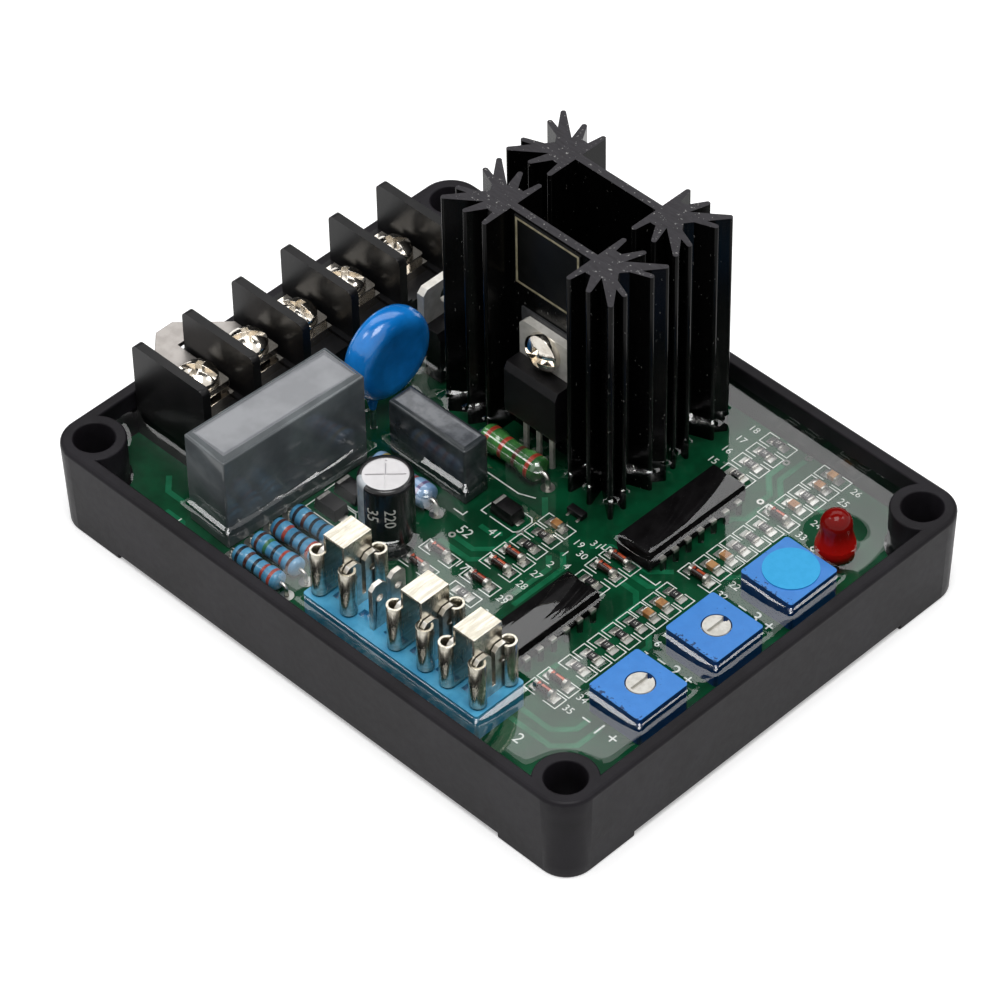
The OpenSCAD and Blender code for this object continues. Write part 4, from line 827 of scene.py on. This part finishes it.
def boxed_capacitor(name, size, at, turn, finishes, node):
    """A case with a sloped rim and a fill that dips a little inside it, on two leads."""
    w, d, h = size
    share = min(w, d) / LARGE_CASE[0]
    whole = block((-w / 2, -d / 2, 0.02), (w / 2, d / 2, h - 0.45 * share), 0.35, 4)
    top = max(whole.faces, key=lambda f: (round(f.calc_center_median().z, 3), f.calc_area()))
    bmesh.ops.inset_region(whole, faces=[top], thickness=0.7 * share, depth=0.45 * share)
    bmesh.ops.inset_region(whole, faces=[top], thickness=0.08 * share)
    for step, drop in ((0.2, -0.2), (0.4, -0.12), (0.45, -0.04)):
        lip = bmesh.ops.inset_region(whole, faces=[top], thickness=step * share, depth=drop * share)
        for face in lip["faces"] + [top]:
            face.material_index = 1
    reach = max(w, d) / 2 - 1.6
    for side in (-1, 1):
        spot = (side * reach, 0, 0) if w > d else (0, side * reach, 0)
        gather(whole, lead_wire(0.34, 0.4, -2.9, -2.8, 0.3, 2), Matrix.Translation(spot))
    place = Matrix.Translation((*at, BOARD_TOP)) @ Matrix.Rotation(math.radians(turn), 4, "Z")
    bmesh.ops.transform(whole, matrix=place, verts=whole.verts[:])
    add_piece(name, whole, finishes, [node], crease=30)


case_grey = Finish("capacitor_case", "#5c6164", 0.12, ("#54595c", "#686e71", 7.0))
case_grey.bump(case_grey.grain(0.5), 0.006, 0.3)
fill_grey = Finish("capacitor_fill", "#7e8084", 0.14, ("#787a7e", "#86888c", 6.0))
case_dark = Finish("capacitor_case_dark", "#34393c", 0.16, ("#2e3336", "#3d4245", 3.0))
case_dark.bump(case_dark.grain(0.35), 0.014, 0.5)
fill_dark = Finish("capacitor_fill_dark", "#5c5f64", 0.2, ("#4e5156", "#6a6d72", 2.0))
boxed_capacitor("film_case_large", LARGE_CASE, LARGE_CASE_AT, LARGE_CASE_TURN, [case_grey, fill_grey, tin],
                "film_capacitor_large")
boxed_capacitor("film_case_small", (15.2, 4.6, 10.5), (-12.2, -0.95), 0, [case_dark, fill_dark, tin],
                "film_capacitor_small")

# Varistor
# A ceramic disc dipped in glossy blue epoxy, with the coat run down over its two leads.
# The coat is thickest at the rim and dimples a little over the electrodes.
dip_blue = Finish("varistor_dip", "#1480d8", 0.18, ("#0f78cc", "#1a8ae4", 4.0), Coat_Weight=0.3)
dip_blue.bump(dip_blue.grain(3.0, detail=1.0), 0.03, 0.5)
disc_half = [(0, -1.95), (3.2, -2.02), (4.6, -2.25), (5.6, -2.3), (6.35, -2.05), (6.95, -1.5),
             (7.25, -0.75)]
disc = turned(disc_half + [(7.3, 0)] + [(r, -h) for r, h in reversed(disc_half)], 72, "X")
varistor_parts = bmesh.new()
gather(varistor_parts, disc, Matrix.Translation((*VARISTOR_AT, BOARD_TOP + 11.4)))
for lead_x, lead_y in VARISTOR_LEADS:
    place = Matrix.Translation((VARISTOR_AT[0] + lead_x, VARISTOR_AT[1] + lead_y, BOARD_TOP))
    run = turned([(0, 6.6), (0.9, 6.6), (0.85, 5.2), (0.62, 4.2), (0.52, 3.7), (0.4, 3.5), (0, 3.5)], 20)
    gather(varistor_parts, run, place)
    gather(varistor_parts, lead_wire(0.36, 0.4, -2.95, -2.85, 3.6, 1), place)
add_piece("varistor_disc", varistor_parts, [dip_blue, tin], ["varistor"], crease=50)

# Electrolytic capacitor
# An aluminium can with a scored vent in its top, in a shrunk black sleeve that turns in over the rim.
# A pale stripe with minus signs runs down the sleeve beside plain numbers.
DIAGONAL, SCORE_LENGTH = 0.707, 2.3
SLEEVE_R = 4.0
STRIPE_FROM, STRIPE_TO = 228, 268
can_metal = Finish("can_aluminium", "#c2c0c1", 0.38, Metallic=0.6)
across = (can_metal.place(0) + can_metal.place(1) - sum(CAN_AT)) * DIAGONAL
along = (can_metal.place(1) - can_metal.place(0) - CAN_AT[1] + CAN_AT[0]) * DIAGONAL
# Painted shade: the vent score is a darker grey line painted on the top.
score_shade_line = ((1 - can_metal.ramp(across ** 2, 0.002, 0.01)) * can_metal.ramp(along, 0.0, 0.08)
          * (1 - can_metal.ramp(along, SCORE_LENGTH, SCORE_LENGTH + 0.1)))
can_tone = can_metal.blend(can_metal.grain(1.5), tone("#b8b6b7"), tone("#cbc9ca"))
can_metal.feed("Base Color", can_metal.blend(score_shade_line * 0.7, can_tone, tone("#77767a")))
can_metal.bump(can_metal.grain(0.35, (6, 1, 1)), 0.008, 0.5)
dress("electrolytic_can", can_metal, 0.05)
sleeve_black = Finish("sleeve_film", "#131315", 0.2, ("#101012", "#19191b", 4.0))
stripe_grey = Finish("sleeve_stripe", "#a7adb2", 0.25, ("#9ba1a6", "#b3b8bd", 2.0))
outer_wall = [(3.86, 0.3), (SLEEVE_R, 0.5), (SLEEVE_R, 1.0), (3.72, 1.45), (3.7, 1.7), (3.98, 2.2),
              (SLEEVE_R, 2.6), (SLEEVE_R, 12.3), (3.96, 12.75), (3.82, 13.05), (3.6, 13.2), (3.34, 13.22),
              (3.28, 13.1)]
inner_wall = [(3.28, 13.02), (3.6, 13.03), (3.76, 12.9), (3.86, 12.3), (3.86, 2.6), (3.84, 2.2),
              (3.56, 1.7), (3.58, 1.45), (3.82, 1.0), (3.82, 0.5)]
sleeve = turned(outer_wall + inner_wall + outer_wall[:1], 96)
for face in sleeve.faces:
    spot = face.calc_center_median()
    if STRIPE_FROM < math.degrees(math.atan2(spot.y, spot.x)) % 360 < STRIPE_TO and spot.z > 0.9:
        face.material_index = 1


def wrap(target, words, size, angle, height, finish, turn):
    """Numbers printed on the can's side at an angle about its axis, in degrees."""
    mesh = lettering(words, size, 0.02)
    mesh.transform(Matrix.Rotation(math.radians(turn), 4, "Z"))
    for vert in mesh.vertices:
        r, a = SLEEVE_R + 0.012 + vert.co.z, math.radians(angle) + vert.co.x / SLEEVE_R
        vert.co = (r * math.cos(a), r * math.sin(a), height + vert.co.y)
    join(target, mesh, finish)


for step in range(3):
    wrap(sleeve, "−", 2.4, (STRIPE_FROM + STRIPE_TO) / 2, 4.6 + 3.2 * step, 3, 90)
wrap(sleeve, "35", 2.5, 286, 8.6, 2, -90)
wrap(sleeve, "220", 2.3, 322, 8.2, 2, -90)
bmesh.ops.translate(sleeve, vec=(*CAN_AT, BOARD_TOP), verts=sleeve.verts[:])
stripe_mark = Finish("stripe_mark", "#3f5f86", 0.3, ("#385678", "#4a6b93", 1.0))
add_piece("sleeve", sleeve, [sleeve_black, stripe_grey, number_white, stripe_mark],
          ["electrolytic_sleeve"])

# Jumper block
# A light blue moulded header holds seven forked tabs. Three push-on links bridge pairs of tabs:
# tinned spring sheet whose edges are rolled into tubes that grip the tabs.
header_blue = Finish("header_plastic", "#459ac4", 0.34, ("#3b8fb9", "#52a8d0", 4.0))
header_blue.bump(header_blue.grain(1.1), 0.03, 0.4)
dress("jumper_header", header_blue, 0.3, 3)
dress("jumper_tabs", tin, 0.08)
bright_tin = Finish("bright_tin", "#bbb6aa", 0.2, ("#a9a497", "#c4bfb3", 0.5, (1, 9, 1)), Metallic=1.0)
bright_tin.feed("Roughness", bright_tin.grain(0.8, (1, 1, 4)) * 0.18 + 0.16)
bright_tin.bump(bright_tin.grain(0.2, (1, 12, 1)), 0.006, 0.5)
for link in (1, 2, 3):
    dress(f"jumper_link_{link}", bright_tin, 0.06)

# Trimmers
# Square blue cermet trimmers with a white slotted rotor flush in the top, their sides painted a darker blue
# as shade.
# Their tops are darker in a ragged band along one edge, and the third is closed with a round paper seal.
TRIMMER_EDGE, TRIMMER_PITCH = -19.35, 14.85
trimmer_blue = Finish("trimmer_plastic_painted_shade", "#2f78cc", 0.36, specular=0.3)
top_over_shaded_sides = trimmer_blue.ramp(trimmer_blue.place(2), 12.2, 12.3)
top_blue = trimmer_blue.blend(trimmer_blue.grain(2.0), tone("#2f74c0"), tone("#3f88d6"))
specks = trimmer_blue.ramp(trimmer_blue.grain(0.4), 0.7, 0.74)
marked_top_blue = trimmer_blue.blend(specks * 0.8, top_blue, tone("#163c72"))
from_edge = (trimmer_blue.place(1) - TRIMMER_EDGE) % TRIMMER_PITCH
ragged = trimmer_blue.grain(0.55, detail=4.0)
# A ragged darker band along the low-Y edge of each top.
ragged_dark_band = trimmer_blue.ramp(ragged - from_edge * 0.16, 0.5, 0.53)
marked_top_blue = trimmer_blue.blend(ragged_dark_band * 0.9, marked_top_blue, tone("#102a50"))
# Painted shade: the sides are a much darker blue than the top.
shaded_side_blue = trimmer_blue.blend(ragged, tone("#0d2f5c"), tone("#17468a"))
trimmer_blue.feed("Base Color", trimmer_blue.blend(top_over_shaded_sides, shaded_side_blue, marked_top_blue))
trimmer_blue.bump(trimmer_blue.grain(0.3), 0.02, 0.5)
rotor_white = Finish("rotor_plastic", "#cfcdc6", 0.42, ("#c6c3bb", "#d8d6cf", 0.9), specular=0.3)
for trimmer in ("voltage", "stability", "frequency"):
    dress(trimmer + "_trimmer_body", trimmer_blue, 0.16)
    dress(trimmer + "_rotor", rotor_white, 0.06)
seal_paper = Finish("seal_paper", "#3ba5dc", 0.55, ("#39a3da", "#3ea8df", 1.0), specular=0.15)
dress("rotor_seal", seal_paper)

# Status lamp
# A 5 mm red lamp: a cast epoxy lens with a flared foot, on two leads.
# Deep red and glossy, with painted light that makes it a little lighter towards its foot.
lamp_red = Finish("lamp_epoxy_painted_light", "#9c110d", 0.09, specular=0.15)
# Painted light: lighter red low on the lens, deeper red towards the dome.
painted_foot_light = lamp_red.ramp(lamp_red.place(2), 10.4, 17.0)
lamp_red.feed("Base Color", lamp_red.blend(painted_foot_light, tone("#c41a14"), tone("#780d0a")))
LENS_R, LENS_SHOULDER = 2.3, 7.6
dome = [(LENS_R * math.cos(math.radians(a)), LENS_SHOULDER + LENS_R * math.sin(math.radians(a)))
        for a in range(0, 90, 6)]
lens_body = turned([(0, 2.4), (2.85, 2.4), (2.95, 2.5), (2.95, 3.6), (2.9, 4.1), (2.78, 4.65), (2.62, 5.2),
                    (2.48, 5.75), (2.38, 6.3), (2.32, 6.9)] + dome + [(0, 9.9)], 64)
lamp_parts = bmesh.new()
gather(lamp_parts, lens_body)
for side in (-1, 1):
    lead = lead_wire(0.26, 0.3, -2.95, -2.88, 2.5, 1)
    gather(lamp_parts, lead, Matrix.Translation((side * 1.27, 0, 0)))
bmesh.ops.translate(lamp_parts, vec=(*LAMP_AT, BOARD_TOP), verts=lamp_parts.verts[:])
add_piece("lamp", lamp_parts, [lamp_red, tin], ["status_lamp"], crease=50)

# Studio
# A pale floor under a bright soft box and two side strips, with a dimmer panel behind for the resin to
# mirror. Black flags under and over the panel show only in reflections; the background is white.
FLOOR_HALF, FLAG_HALF = 4.0, 0.8


def sheet(name, place, finish):
    """A flat square on the stage, spread out by a matrix."""
    mesh = bmesh.new()
    bmesh.ops.create_grid(mesh, x_segments=1, y_segments=1, size=1, matrix=place)
    data = bpy.data.meshes.new(name)
    mesh.to_mesh(data)
    mesh.free()
    data.materials.append(finish.material)
    piece = bpy.data.objects.new(name, data)
    scene.collection.objects.link(piece)
    return piece


def seen_white(tree):
    """1 for the rays that show the background: camera, glossy and transmission."""
    camera_ray, glossy_ray, transmission_ray = (tree.node("LightPath", output=i) for i in (0, 3, 6))
    return camera_ray.larger(glossy_ray.larger(transmission_ray))


floor_white = Finish("floor_paint", "#f2f2f2", 0.9, Emission_Strength=0.36)
floor_white.feed("Emission Color", seen_white(floor_white))
sheet("floor", Matrix.Diagonal((FLOOR_HALF, FLOOR_HALF, 1, 1)), floor_white)

world = bpy.data.worlds.new("studio")
scene.world = world
world.use_nodes = True
sky = Tree(world.node_tree)
background = world.node_tree.nodes["Background"]
background.inputs["Color"].default_value = (1, 1, 1, 1)
light_level = seen_white(sky) * 0.85 + 0.15
world.node_tree.links.new(light_level.socket, background.inputs["Strength"])


def soft_box(name, way, distance, width, height, power):
    """A rectangular light that faces the object from the given way."""
    lamp = bpy.data.lights.new(name, "AREA")
    lamp.shape = "RECTANGLE"
    lamp.size = width
    lamp.size_y = height
    lamp.energy = power
    holder = bpy.data.objects.new(name, lamp)
    holder.location = way.normalized() * distance
    holder.rotation_euler = way.to_track_quat("Z", "Y").to_euler()
    scene.collection.objects.link(holder)


behind = Vector((-back.x, -back.y, 0)).normalized()
soft_box("overhead_soft_box", Vector((back.x * 0.3, back.y * 0.3, 1)), 0.9, 0.45, 0.45, 5.1)
soft_box("back_panel", behind * 0.6 + Vector((0, 0, 0.78)), 1.0, 1.2, 0.5, 2.9)
soft_box("left_strip", Vector((-0.51, -0.41, 0.76)), 1.0, 0.25, 0.25, 1.2)
soft_box("right_strip", Vector((0.41, 0.5, 0.76)), 1.0, 0.25, 0.25, 1.2)


def flag(name, at, half_height):
    """A wide black cloth that faces the object and that only reflections see."""
    place = Matrix.Translation(at) @ at.to_track_quat("Z", "Y").to_matrix().to_4x4()
    cloth = sheet(name, place @ Matrix.Diagonal((FLAG_HALF, half_height, 1, 1)), flag_cloth)
    cloth.visible_camera = cloth.visible_diffuse = False
    cloth.visible_transmission = cloth.visible_shadow = False


flag_cloth = Finish("flag_cloth", "#000000", 1.0, specular=0.0)
flag("lower_flag", behind * 0.5 + Vector((0, 0, 0.17)), 0.171)
flag("upper_flag", behind * 0.18 + Vector((0, 0, 0.78)), 0.14)
